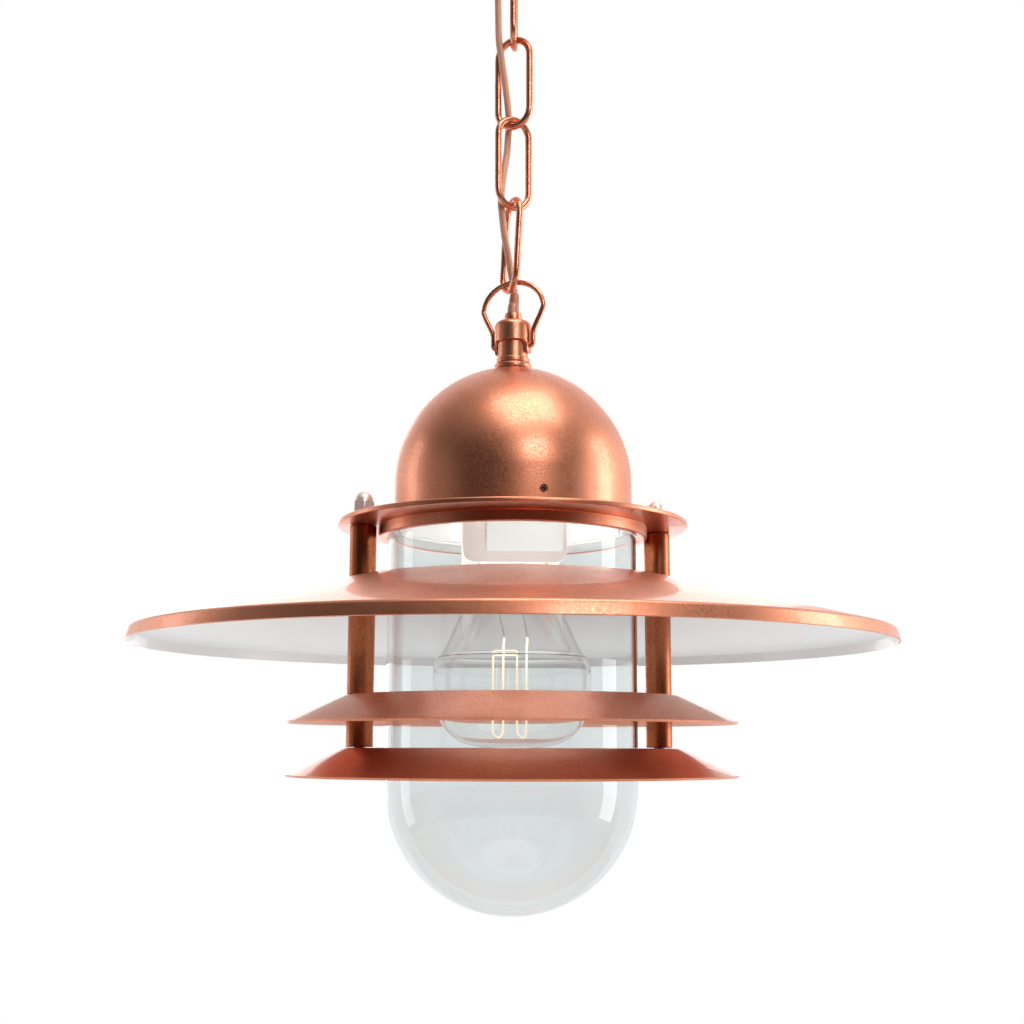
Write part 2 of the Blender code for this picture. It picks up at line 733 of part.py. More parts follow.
grub_z = plate_top + GRUB_HEIGHT
for number in range(3):
    angle = GRUB_FIRST_ANGLE + 120.0 * number
    direction = Vector((math.cos(math.radians(angle)), math.sin(math.radians(angle)), 0.0))
    turn = (0.0, 90.0, angle)
    for pierced in (dome, top_plate):
        middle = direction * DOME_RADIUS + Vector((0.0, 0.0, grub_z))
        drill(pierced, GRUB_RADIUS + CLEARANCE, 0.016, middle, turn, 12)
    screw_middle = direction * (DOME_RADIUS - SHEET / 2 - GRUB_LENGTH / 2) + Vector((0.0, 0.0, grub_z))
    screw = cylinder(f"grub_screw_{number + 1}", GRUB_RADIUS, GRUB_LENGTH, screw_middle, STEEL, 12, turn)
    boolean(
        screw,
        cylinder(
            f"grub_socket_{number + 1}",
            GRUB_RADIUS / 2,
            GRUB_LENGTH,
            screw_middle + direction * GRUB_LENGTH * 0.55,
            None,
            6,
            turn,
        ),
    )

gasket_top = recess_top - CLEARANCE
gasket_foot = gasket_top - GASKET_THICKNESS
turned(
    "gasket",
    [
        (JAR_RADIUS + CLEARANCE, gasket_top),
        (JAR_RADIUS + CLEARANCE, gasket_foot),
        (JAR_RADIUS - JAR_WALL, gasket_foot),
        (JAR_RADIUS - JAR_WALL, gasket_top),
    ],
    SILICONE,
)
jar_top = gasket_foot - CLEARANCE
jar_middle = jar_top - JAR_DEPTH
turned(
    "glass_jar",
    [(JAR_RADIUS, jar_top), *arc((0.0, jar_middle), JAR_RADIUS, 0.0, -90.0, 8)],
    GLASS,
    closed=False,
    wall=JAR_WALL,
)

# ---------------------------------------------------------------- shades
shade_top = plate_low - CLEARANCE - SLEEVE_LENGTHS[0] - CLEARANCE
upper_louvre_top = shade_top - SHEET - CLEARANCE - SLEEVE_LENGTHS[1] - CLEARANCE
lower_louvre_top = upper_louvre_top - SHEET - CLEARANCE - SLEEVE_LENGTHS[2] - CLEARANCE
shades = [
    turned(
        "wide_shade",
        [
            (ANNULUS_INNER, shade_top),
            (ANNULUS_OUTER, shade_top),
            (SHADE_RADIUS - 0.0017, shade_top - SHADE_DROP),
            (SHADE_RADIUS, shade_top - SHADE_DROP - SHADE_LIP),
        ],
        COPPER,
        closed=False,
        wall=SHEET,
        steps=48,
    )
]
for name, top in (("upper_louvre", upper_louvre_top), ("lower_louvre", lower_louvre_top)):
    shades.append(
        turned(
            name,
            [(ANNULUS_INNER, top), (ANNULUS_OUTER, top), (LOUVRE_RADIUS, top - LOUVRE_DROP)],
            COPPER,
            closed=False,
            wall=SHEET,
            steps=ROUND_STEPS,
        )
    )

# ---------------------------------------------------------------- posts
rod_hole = ROD_RADIUS + CLEARANCE
washer_foot = plate_top + CLEARANCE
acorn_foot = washer_foot + WASHER_THICKNESS
acorn_top = acorn_foot + ACORN_HEIGHT
lower_nut_top = lower_louvre_top - SHEET - CLEARANCE
rod_top = acorn_foot + ACORN_HEX
rod_foot = lower_nut_top - LOWER_NUT_HEIGHT - 0.001
for side, x in (("left", -POST_CIRCLE), ("right", POST_CIRCLE)):
    faces = (plate_top, shade_top, upper_louvre_top, lower_louvre_top)
    for pierced, face in zip((top_plate, *shades), faces):
        drill(pierced, rod_hole, 0.01, (x, 0.0, face), facets=12)
    tops = (plate_low, shade_top - SHEET, upper_louvre_top - SHEET)
    for number, (top, length) in enumerate(zip(tops, SLEEVE_LENGTHS), 1):
        high, low = top - CLEARANCE, top - CLEARANCE - length
        turned(
            f"post_sleeve_{side}_{number}",
            [
                (SLEEVE_RADIUS - 0.0005, high),
                (SLEEVE_RADIUS, high - 0.0005),
                (SLEEVE_RADIUS, low + 0.0005),
                (SLEEVE_RADIUS - 0.0005, low),
                (rod_hole, low),
                (rod_hole, high),
            ],
            COPPER,
            steps=SMALL_STEPS,
            at=(x, 0.0),
        )
    rod_middle = (x, 0.0, (rod_top + rod_foot) / 2)
    cylinder(f"threaded_rod_{side}", ROD_RADIUS, rod_top - rod_foot, rod_middle, STEEL, 12)

    acorn = turned(
        f"acorn_nut_{side}",
        [
            (0.0, acorn_top),
            *arc((0.0, acorn_top - NUT_ACROSS / 2), NUT_ACROSS / 2 - 0.0001, 75.0, 0.0, 5),
            (NUT_ACROSS / 2 - 0.0001, acorn_foot - 0.0004),
            (WASHER_RADIUS, acorn_foot - 0.0004),
            (WASHER_RADIUS, washer_foot),
            (0.0, washer_foot),
        ],
        POLISHED_COPPER,
        closed=False,
        steps=20,
        at=(x, 0.0),
    )
    hex_low, hex_high = acorn_foot - 0.0010, acorn_foot + ACORN_HEX
    hex_body = hexagon(f"acorn_hex_{side}", NUT_ACROSS, hex_low, hex_high, None, (x, 0.0))
    boolean(acorn, hex_body, "UNION")
    bore = rod_top + 0.0005 - washer_foot
    drill(acorn, rod_hole, 2 * bore, (x, 0.0, washer_foot), facets=12)

    lower_nut = hexagon(
        f"lower_nut_{side}", NUT_ACROSS, lower_nut_top - LOWER_NUT_HEIGHT, lower_nut_top, STEEL, (x, 0.0)
    )
    drill(lower_nut, rod_hole, 0.03, (x, 0.0, lower_nut_top), facets=12)

# ---------------------------------------------------------------- lamp
tube_nut_across = 0.024
tube_nut_height = 0.0055
crown_nut_top = crown_z - 0.0032
crown_nut = hexagon("crown_nut", tube_nut_across, crown_nut_top - tube_nut_height, crown_nut_top, STEEL)
drill(crown_nut, neck_hole, 0.03, (0.0, 0.0, crown_nut_top))
bracket_nut_foot = web_top + CLEARANCE
bracket_nut_top = bracket_nut_foot + tube_nut_height
bracket_nut = hexagon("bracket_nut", tube_nut_across, bracket_nut_foot, bracket_nut_top, STEEL)
drill(bracket_nut, neck_hole, 0.03, (0.0, 0.0, bracket_nut_foot))

leg_foot = web_top - BRACKET_LEG
outer, inner = BRACKET_DEPTH / 2, BRACKET_DEPTH / 2 - BRACKET_SHEET
strap = rounded(
    [
        (-outer, leg_foot, 0.0),
        (-inner, leg_foot, 0.0),
        (-inner, web_foot, 0.0015),
        (inner, web_foot, 0.0015),
        (inner, leg_foot, 0.0),
        (outer, leg_foot, 0.0),
        (outer, web_top, 0.0030),
        (-outer, web_top, 0.0030),
    ]
)
lamp_bracket = as_mesh(
    outline_object(
        "lamp_bracket", strap, BRACKET_WIDTH + 0.01, STEEL, (0.0, 0.0, 0.0), (90.0, 0.0, 90.0 + BRACKET_YAW)
    )
)
half = BRACKET_WIDTH / 2
leg_outline = rounded(
    [
        (-half, leg_foot - 0.00001, 0.006),
        (half, leg_foot - 0.00001, 0.006),
        (half, web_top + 0.002, 0.0),
        (-half, web_top + 0.002, 0.0),
    ]
)
leg_turn = (90.0, 0.0, BRACKET_YAW)
leg_shape = as_mesh(outline_object("leg_shape", leg_outline, 0.08, None, (0.0, 0.0, 0.0), leg_turn))
boolean(lamp_bracket, leg_shape, "INTERSECT")
drill(lamp_bracket, neck_hole, 0.01, (0.0, 0.0, web_top))

label_half = LABEL_SIZE[0] / 2
label_high = LABEL_SIZE[1] / 2
label_signs = ((-1, -1), (1, -1), (1, 1), (-1, 1))
label_corners = [(x * label_half, y * label_high, 0.0012) for x, y in label_signs]
label_place = Matrix.Rotation(math.radians(BRACKET_YAW), 3, "Z") @ Vector(
    (LABEL_PLACE[0], -outer - CLEARANCE - LABEL_SIZE[2] / 2, leg_foot + LABEL_PLACE[1])
)
outline_object(
    "rating_plate",
    rounded(label_corners),
    LABEL_SIZE[2],
    LABEL,
    label_place,
    leg_turn,
)

holder_foot = holder_top - HOLDER_LENGTH
shell_radius = CAP_RADIUS + CLEARANCE
shell_outer = shell_radius + 0.0006
cavity_radius = shell_outer + CLEARANCE
cavity_top = holder_foot + 0.0370
stem_hole = 0.0018
turned(
    "lamp_holder",
    [
        (0.0140, holder_top),
        (0.0150, holder_top - 0.0055),
        (HOLDER_RADIUS - 0.0012, holder_top - 0.0065),
        (HOLDER_RADIUS, holder_top - 0.0080),
        (HOLDER_RADIUS, holder_foot + 0.0015),
        (HOLDER_RADIUS - 0.0015, holder_foot),
        (cavity_radius, holder_foot),
        (cavity_radius, cavity_top),
        (stem_hole, cavity_top),
        (stem_hole, neck_foot - CLEARANCE),
        (neck_hole, neck_foot - CLEARANCE),
        (neck_hole, holder_top),
    ],
    PORCELAIN,
)
cap_foot = holder_foot + 0.0062
cap_top = cap_foot + CAP_LENGTH
turned(
    "screw_shell",
    [
        (shell_outer, cavity_top - CLEARANCE),
        (shell_outer, holder_foot + 0.0030),
        (shell_radius, holder_foot + 0.0030),
        (shell_radius, cavity_top - CLEARANCE),
    ],
    BRASS,
)
contact_foot = cap_top + 0.0016
turned(
    "centre_contact",
    [
        (0.0, cavity_top + 0.0030),
        (stem_hole - CLEARANCE, cavity_top + 0.0030),
        (stem_hole - CLEARANCE, contact_foot + 0.0012),
        (0.0050, contact_foot + 0.0010),
        (0.0050, contact_foot),
        (0.0, contact_foot),
    ],
    BRASS,
    closed=False,
    steps=16,
)

neck_inner = CAP_RADIUS - 0.0006
tip_hole = 0.0036
turned(
    "bulb_cap",
    [
        (tip_hole, cap_top),
        (0.0080, cap_top),
        (0.0115, cap_top - 0.0030),
        *[(CAP_RADIUS - (0.0008 if k % 2 else 0.0), cap_top - 0.0050 - 0.0032 * k) for k in range(6)],
        (CAP_RADIUS, cap_foot),
        (neck_inner - 0.0002, cap_foot),
        (neck_inner - 0.0002, cap_top - 0.0200),
        (0.0105, cap_top - 0.0045),
        (tip_hole, cap_top - 0.0015),
    ],
    BRASS,
)
turned(
    "bulb_tip",
    [
        (0.0, contact_foot - CLEARANCE),
        (0.0022, contact_foot - CLEARANCE - 0.0003),
        (tip_hole - CLEARANCE, cap_top - 0.0002),
        (tip_hole - CLEARANCE, cap_top - 0.0012),
        (0.0, cap_top - 0.0012),
    ],
    BRASS,
    closed=False,
    steps=16,
)
bulb_neck = neck_inner - 0.0002 - CLEARANCE - 0.0001
bulb_end = cap_foot - BULB_LENGTH
bulb_wide = bulb_end + 0.0370
turned(
    "bulb_glass",
    [
        (bulb_neck, cap_foot + 0.0050),
        (bulb_neck, cap_foot + 0.0005),
        (0.0136, holder_foot + 0.0002),
        (0.0172, cap_foot - 0.0170),
        (0.0205, cap_foot - 0.0290),
        (0.0245, cap_foot - 0.0440),
        (0.0362, cap_foot - 0.0700),
        (0.0403, bulb_wide + 0.0095),
        (BULB_RADIUS, bulb_wide),
        (0.0410, bulb_wide - 0.0130),
        (0.0384, bulb_wide - 0.0215),
        (0.0335, bulb_wide - 0.0285),
        (0.0255, bulb_wide - 0.0338),
        (0.0140, bulb_wide - 0.0364),
        (0.0, bulb_end),
    ],
    GLASS,
    closed=False,
    wall=BULB_WALL,
    steps=28,
)
stem_top = cap_foot + 0.0040
stem_foot = cap_foot - 0.0430
turned(
    "bulb_stem",
    [
        (0.0, stem_top),
        (bulb_neck - BULB_WALL - CLEARANCE, stem_top),
        (bulb_neck - BULB_WALL - CLEARANCE, stem_top - 0.0015),
        (0.0050, stem_top - 0.0130),
        (0.0042, stem_foot + 0.0070),
        (0.0030, stem_foot),
        (0.0, stem_foot),
    ],
    GLASS,
    closed=False,
    steps=20,
)
lead_top = stem_foot - CLEARANCE
lead_foot = lead_top - 0.0195
for number, (start, bend, end) in enumerate(
    [
        ((-0.0020, 0.0002), (-0.0067, 0.0011), (-0.0042, 0.0007)),
        ((0.0020, -0.0002), (0.0050, -0.0009), (0.0079, -0.0014)),
    ],
    1,
):
    curve_object(
        f"filament_lead_{number}",
        [
            (*start, lead_top),
            (start[0], start[1], lead_top - 0.0010),
            (*bend, lead_top - 0.0065),
            (*end, lead_foot),
        ],
        LEAD_RADIUS,
        STEEL,
    )
filament_top = lead_foot - 0.0010
filament_low = bulb_end + 0.0050
cross_z = filament_top - 0.0080
filament_line = [
    (-0.0042, 0.0007, filament_top),
    (-0.0038, 0.0060, filament_top - 0.0060),
    (-0.0034, 0.0077, filament_low + 0.0030),
    (-0.0066, 0.0036, filament_low),
    (-0.0105, -0.0012, filament_low + 0.0030),
    (-0.0105, -0.0012, cross_z - 0.0010),
    (-0.0095, -0.0022, cross_z),
    (0.0004, -0.0078, cross_z),
    (0.0012, -0.0083, cross_z - 0.0010),
    (0.0012, -0.0083, filament_low + 0.0030),
    (0.0050, -0.0040, filament_low),
    (0.0082, 0.0026, filament_low + 0.0030),
    (0.0082, 0.0020, filament_top - 0.0060),
    (0.0079, -0.0014, filament_top),
]
curve_object("filament", filament_line, FILAMENT_RADIUS, TUNGSTEN)

# ---------------------------------------------------------------- pivots
link_4_pivot = pivot("pivot_link_4", hook_bar, HOOK_YAW)
link_3_pivot = pivot("pivot_link_3", link_4_foot, LINK_YAWS[4])
link_2_pivot = pivot("pivot_link_2", link_3_foot, LINK_YAWS[3])
link_1_pivot = pivot("pivot_link_1", link_2_foot, LINK_YAWS[2])
bail_pivot = pivot("pivot_bail", link_1_foot, LINK_YAWS[1])
lantern_pivot = pivot("pivot_lantern", (0.0, 0.0, pivot_z), BAIL_YAW)
pivots = [link_4_pivot, link_3_pivot, link_2_pivot, link_1_pivot, bail_pivot, lantern_pivot]
CEILING_PIECES = ("ceiling_", "hook_", "canopy", "terminal_", "cord_1")
moving = {
    link_4_pivot: [link_4, cord[1]],
    link_3_pivot: [link_3, cord[2]],
    link_2_pivot: [link_2, cord[3]],
    link_1_pivot: [link_1, cord[4]],
    bail_pivot: [bail, cord[5]],
}
held = {obj for pieces in moving.values() for obj in pieces}
pieces = [obj for obj in PARTS.objects if obj.type != "EMPTY" and obj not in held]
head = [obj for obj in pieces if not obj.name.startswith(CEILING_PIECES)]
moving[lantern_pivot] = head
for upper, lower in zip(pivots, pivots[1:]):
    hang(upper, lower)
for parent, pieces in moving.items():
    hang(parent, *pieces)
for obj in PARTS.objects:
    if obj.type == "MESH":
        smooth(obj)
bpy.context.view_layer.update()
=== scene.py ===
import math

import bmesh
import bpy
import numpy as np
from mathutils import Matrix, Vector


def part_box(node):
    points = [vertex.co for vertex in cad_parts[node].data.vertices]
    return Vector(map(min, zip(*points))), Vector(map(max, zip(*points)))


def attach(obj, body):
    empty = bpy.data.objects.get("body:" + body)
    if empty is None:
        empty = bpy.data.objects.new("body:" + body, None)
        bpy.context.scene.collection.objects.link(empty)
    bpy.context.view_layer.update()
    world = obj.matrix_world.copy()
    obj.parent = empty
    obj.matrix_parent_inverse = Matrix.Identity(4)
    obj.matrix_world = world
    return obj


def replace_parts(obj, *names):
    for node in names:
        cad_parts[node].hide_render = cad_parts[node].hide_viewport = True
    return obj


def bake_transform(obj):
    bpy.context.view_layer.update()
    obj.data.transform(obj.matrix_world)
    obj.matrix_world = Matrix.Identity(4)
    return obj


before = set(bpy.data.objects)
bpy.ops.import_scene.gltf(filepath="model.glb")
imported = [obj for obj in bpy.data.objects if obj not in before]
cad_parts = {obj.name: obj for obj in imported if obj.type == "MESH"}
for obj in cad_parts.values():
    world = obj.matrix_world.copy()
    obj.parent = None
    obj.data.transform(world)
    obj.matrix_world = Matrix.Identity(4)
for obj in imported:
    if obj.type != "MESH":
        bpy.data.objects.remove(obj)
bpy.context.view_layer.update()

# ------------------------------------------------------------------ studio
# A pale room for a lantern that hangs from above: a wide white floor below it, air that is bright behind it
# and dim behind the viewer, which darkens the metal that faces forwards, five soft boxes round it, and two
# small lamps inside that light the dome and the rating plate.
scene = bpy.context.scene
scene.view_settings.view_transform = "Standard"

eye = Vector((-0.1363, -0.7729, -0.5067))
lens = bpy.data.cameras.new("view")
lens.lens = 51.86
lens.sensor_width = 36.0
lens.shift_x = -0.00055
lens.clip_start = 0.01
viewer = bpy.data.objects.new("view", lens)
scene.collection.objects.link(viewer)
heading = Matrix.Rotation(math.radians(-10.0), 4, "Z") @ Matrix.Rotation(math.radians(90.0 + 9.03), 4, "X")
viewer.matrix_world = Matrix.Translation(eye) @ heading @ Matrix.Rotation(0.0029, 4, "Z")
scene.camera = viewer

air = bpy.data.worlds.new("studio air")
air.use_nodes = True
scene.world = air
air_nodes, air_links = air.node_tree.nodes, air.node_tree.links
air_nodes.clear()
air_out = air_nodes.new("ShaderNodeOutputWorld")
direction = air_nodes.new("ShaderNodeTexCoord")
split = air_nodes.new("ShaderNodeSeparateXYZ")
air_links.new(direction.outputs["Generated"], split.inputs[0])


def ramp_of(source, low, high, at_low, at_high):
    """A value that runs from at_low to at_high, smoothly, while the source runs from low to high."""
    step = air_nodes.new("ShaderNodeMapRange")
    step.interpolation_type = "SMOOTHSTEP"
    step.inputs["From Min"].default_value = low
    step.inputs["From Max"].default_value = high
    step.inputs["To Min"].default_value = at_low
    step.inputs["To Max"].default_value = at_high
    air_links.new(source, step.inputs["Value"])
    return step.outputs[0]


def larger(first, second):
    """The larger of two values."""
    step = air_nodes.new("ShaderNodeMath")
    step.operation = "MAXIMUM"
    air_links.new(first, step.inputs[0])
    air_links.new(second, step.inputs[1])
    return step.outputs[0]


back_and_right = air_nodes.new("ShaderNodeMath")
back_and_right.operation = "MULTIPLY_ADD"
back_and_right.inputs[1].default_value = 0.40
air_links.new(split.outputs["X"], back_and_right.inputs[0])
air_links.new(split.outputs["Y"], back_and_right.inputs[2])
front = ramp_of(back_and_right.outputs[0], -0.35, 0.80, 0.05, 1.30)
above = ramp_of(split.outputs["Z"], 0.45, 0.95, 0.0, 0.55)
below = ramp_of(split.outputs["Z"], -0.75, -0.30, 0.80, 0.0)
to_right = ramp_of(split.outputs["X"], 0.70, 0.95, 0.0, 1.30)
to_left = ramp_of(split.outputs["X"], -0.98, -0.78, 0.45, 0.0)
glow = larger(larger(larger(front, above), larger(to_right, to_left)), below)
soft_air = air_nodes.new("ShaderNodeBackground")
air_links.new(glow, soft_air.inputs["Strength"])
seen = air_nodes.new("ShaderNodeLightPath")
air_now = soft_air.outputs[0]
for ray, colour, strength in (
    ("Is Transmission Ray", (0.97, 1.0, 1.0, 1.0), 0.86),
    ("Is Camera Ray", (1.0, 1.0, 1.0, 1.0), 1.0),
):
    plain_air = air_nodes.new("ShaderNodeBackground")
    plain_air.inputs["Color"].default_value = colour
    plain_air.inputs["Strength"].default_value = strength
    choice = air_nodes.new("ShaderNodeMixShader")
    air_links.new(seen.outputs[ray], choice.inputs[0])
    air_links.new(air_now, choice.inputs[1])
    air_links.new(plain_air.outputs[0], choice.inputs[2])
    air_now = choice.outputs[0]
air_links.new(air_now, air_out.inputs["Surface"])

floor_radius = 4.5
floor_drop = -2.6
around = np.linspace(0.0, 2.0 * np.pi, 96, endpoint=False)
rim = np.stack([floor_radius * np.cos(around), floor_radius * np.sin(around), np.full(96, floor_drop)], 1)
floor_data = bpy.data.meshes.new("floor")
floor_data.from_pydata(rim.tolist(), [], [list(range(96))])
floor = bpy.data.objects.new("floor", floor_data)
scene.collection.objects.link(floor)
floor_paint = bpy.data.materials.new("pale floor")
floor_paint.use_nodes = True
floor_shader = floor_paint.node_tree.nodes["Principled BSDF"]
floor_shader.inputs["Base Color"].default_value = (0.92, 0.92, 0.92, 1.0)
floor_shader.inputs["Roughness"].default_value = 0.9
floor_shader.inputs["Emission Color"].default_value = (1.0, 1.0, 1.0, 1.0)
floor_shader.inputs["Emission Strength"].default_value = 0.30
floor_data.materials.append(floor_paint)


def soft_box(name, place, aim, size, power):
    """A rectangular lamp at place that faces aim."""
    data = bpy.data.lights.new(name, "AREA")
    data.shape = "RECTANGLE"
    data.size, data.size_y = size
    data.energy = power
    lamp = bpy.data.objects.new(name, data)
    lamp.location = place
    lamp.rotation_euler = (Vector(aim) - Vector(place)).to_track_quat("-Z", "Y").to_euler()
    lamp.visible_camera = False
    lamp.visible_transmission = False
    scene.collection.objects.link(lamp)


middle_of_lantern = (0.0, 0.0, -0.40)
soft_box("overhead", (0.15, -0.45, 0.85), middle_of_lantern, (1.0, 0.8), 11.0)
soft_box("left strip", (-1.4, 0.75, -0.35), middle_of_lantern, (0.4, 1.6), 4.0)
soft_box("right strip", (1.5, -0.10, -0.30), middle_of_lantern, (0.5, 1.6), 10.0)
soft_box("front", (0.42, -1.9, 0.55), middle_of_lantern, (0.8, 0.7), 12.0)
soft_box("back", (0.1, 1.8, -0.1), middle_of_lantern, (1.6, 1.2), 10.0)

glow_height = -0.470
for name, forward, power in (("lamp glow", 0.0, 1.5), ("plate glow", -0.046, 0.30)):
    inner_light = bpy.data.lights.new(name, "SPOT")
    inner_light.energy = power
    inner_light.color = (1.0, 0.95, 0.92)
    inner_light.spot_size = math.radians(84.0)
    inner_light.spot_blend = 0.3
    inner_light.shadow_soft_size = 0.02
    inner_glow = bpy.data.objects.new(name, inner_light)
    inner_glow.location = (0.0, forward, glow_height)
    inner_glow.rotation_euler = (math.pi, 0.0, 0.0)
    inner_glow.visible_camera = False
    inner_glow.visible_glossy = False
    inner_glow.visible_transmission = False
    scene.collection.objects.link(inner_glow)


# ------------------------------------------------------------------ ceiling end
# The canopy is a shallow copper cup spun over a form. Its plate is screwed to the ceiling, the hook's shank
# passes down through it, and a ring under the cup and a nut inside it hold the two together.
def surface(name, points, body, rings_meet=False, uv=None, slots=None):
    """A skin over a grid of points, rows by columns by three. The columns run round and close on themselves.

    The rows close too where rings_meet. uv gives each grid line's (u, v) before the round is closed, one
    column more than the points have. slots gives each row of faces its material.
    """
    rows, columns = points.shape[:2]
    bands = rows if rings_meet else rows - 1
    r, c = np.meshgrid(np.arange(bands), np.arange(columns), indexing="ij")
    r2, c2 = (r + 1) % rows, (c + 1) % columns
    faces = np.stack([r * columns + c, r * columns + c2, r2 * columns + c2, r2 * columns + c], -1)
    data = bpy.data.meshes.new(name)
    data.from_pydata(points.reshape(-1, 3).tolist(), [], faces.reshape(-1, 4).tolist())
    if uv is not None:
        corners = np.stack([uv[r, c], uv[r, c + 1], uv[r + 1, c + 1], uv[r + 1, c]], 2)
        data.uv_layers.new(name="UVMap").data.foreach_set("uv", corners.reshape(-1).astype(np.float32))
    if slots is not None:
        data.polygons.foreach_set("material_index", np.repeat(np.asarray(slots), columns).astype(np.int32))
    skin = bmesh.new()
    skin.from_mesh(data)
    bmesh.ops.remove_doubles(skin, verts=skin.verts, dist=2e-6)
    bmesh.ops.dissolve_degenerate(skin, edges=skin.edges, dist=1e-7)
    bmesh.ops.recalc_face_normals(skin, faces=skin.faces)
    skin.to_mesh(data)
    skin.free()
    data.shade_smooth()
    data.set_sharp_from_angle(angle=math.radians(40.0))
    piece = bpy.data.objects.new(name, data)
    scene.collection.objects.link(piece)
    if body:
        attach(piece, body)
    return piece


def eased(corners, steps=5):
    """A profile through (x, z, radius) corners, each with a radius drawn as a round of that radius.

    A round's points are the middle plus radius times the turning spoke between the two tangent points.
    """
    line = []
    for i, (x, z, radius) in enumerate(corners):
        here = np.array((x, z))
        if radius == 0.0 or i in (0, len(corners) - 1):
            line.append(here)
            continue
        back = np.array(corners[i - 1][:2]) - here
        on = np.array(corners[i + 1][:2]) - here
        back, on = back / np.linalg.norm(back), on / np.linalg.norm(on)
        half = math.acos(float(np.clip(back @ on, -1.0, 1.0))) / 2.0
        along = back + on
        middle = here + along / np.linalg.norm(along) * radius / math.sin(half)
        first = here + back * radius / math.tan(half) - middle
        last = here + on * radius / math.tan(half) - middle
        share = np.linspace(0.0, 1.0, steps + 1)[:, None]
        spokes = first * (1.0 - share) + last * share
        line.extend(middle + spokes / np.linalg.norm(spokes, axis=1)[:, None] * radius)
    return np.array(line)


def spun(name, profile, body, columns=160, at=(0.0, 0.0), slots=None):
    """A profile of (radius, height) turned about an upright axis: x = r cos a, y = r sin a, z = height."""
    profile = np.asarray(profile)
    a = np.linspace(0.0, 2.0 * np.pi, columns, endpoint=False)
    x = profile[:, :1] * np.cos(a) + at[0]
    y = profile[:, :1] * np.sin(a) + at[1]
    z = np.repeat(profile[:, 1:], columns, 1)
    return surface(name, np.stack([x, y, z], -1), body, rings_meet=profile[0, 0] > 0.0, slots=slots)


def bent(middle, radius, start, end, count, squash=1.0):
    """Points on a round or oval arc: x = r cos a, z = squash r sin a, for a in degrees from start to end."""
    a = np.radians(np.linspace(start, end, count + 1))
    return np.stack([middle[0] + radius * np.cos(a), middle[1] + squash * radius * np.sin(a)], 1)


def swept(name, line, radius, across, body, closed=False, sides=20):
    """A round wire along a line of points.

    With T the line's direction, N = T x across and B = T x N, the skin is line + radius (N cos a + B sin a).
    An open wire's ends close on the line. u is the share of the round, and v the length along it in metres.
    """
    line = np.asarray(line, float)
    radius = np.broadcast_to(np.asarray(radius, float), (len(line),)).copy()
    if closed:
        heading = np.roll(line, -1, 0) - np.roll(line, 1, 0)
        travel = np.concatenate([[0.0], np.cumsum(np.linalg.norm(np.roll(line, -1, 0) - line, axis=1))])
    else:
        heading = np.gradient(line, axis=0)
        line = np.concatenate([line[:1], line, line[-1:]])
        heading = np.concatenate([heading[:1], heading, heading[-1:]])
        radius = np.concatenate([[0.0], radius, [0.0]])
        travel = np.concatenate([[0.0], np.cumsum(np.linalg.norm(np.diff(line, axis=0), axis=1))])
    heading /= np.linalg.norm(heading, axis=1)[:, None]
    normal = np.cross(heading, np.asarray(across, float))
    normal /= np.linalg.norm(normal, axis=1)[:, None]
    beside = np.cross(heading, normal)
    a = np.linspace(0.0, 2.0 * np.pi, sides, endpoint=False)
    spokes = normal[:, None] * np.cos(a)[None, :, None] + beside[:, None] * np.sin(a)[None, :, None]
    points = line[:, None] + spokes * radius[:, None, None]
    share = np.broadcast_to(np.linspace(0.0, 1.0, sides + 1), (len(travel), sides + 1))
    uv = np.stack([share, np.broadcast_to(travel[:, None], share.shape)], -1)
    return surface(name, points, body, rings_meet=closed, uv=uv)


def fair(points, parts=10):
    """A smooth line through points (Catmull-Rom).

    Between p1 and p2 at t: half of 2 p1 + (p2 - p0) t + (2 p0 - 5 p1 + 4 p2 - p3) t2
    + (3 p1 - p0 - 3 p2 + p3) t3.
    """
    given = np.asarray(points, float)
    p = np.concatenate([[2 * given[0] - given[1]], given, [2 * given[-1] - given[-2]]])
    t = (np.arange(parts) / parts)[None, :, None]
    p0, p1, p2, p3 = p[:-3, None], p[1:-2, None], p[2:-1, None], p[3:, None]
    line = p1 * 2 + (p2 - p0) * t + (p0 * 2 - p1 * 5 + p2 * 4 - p3) * t**2
    line = line + (p1 * 3 - p0 - p2 * 3 + p3) * t**3
    return np.concatenate([(line / 2).reshape(-1, given.shape[1]), given[-1:]])


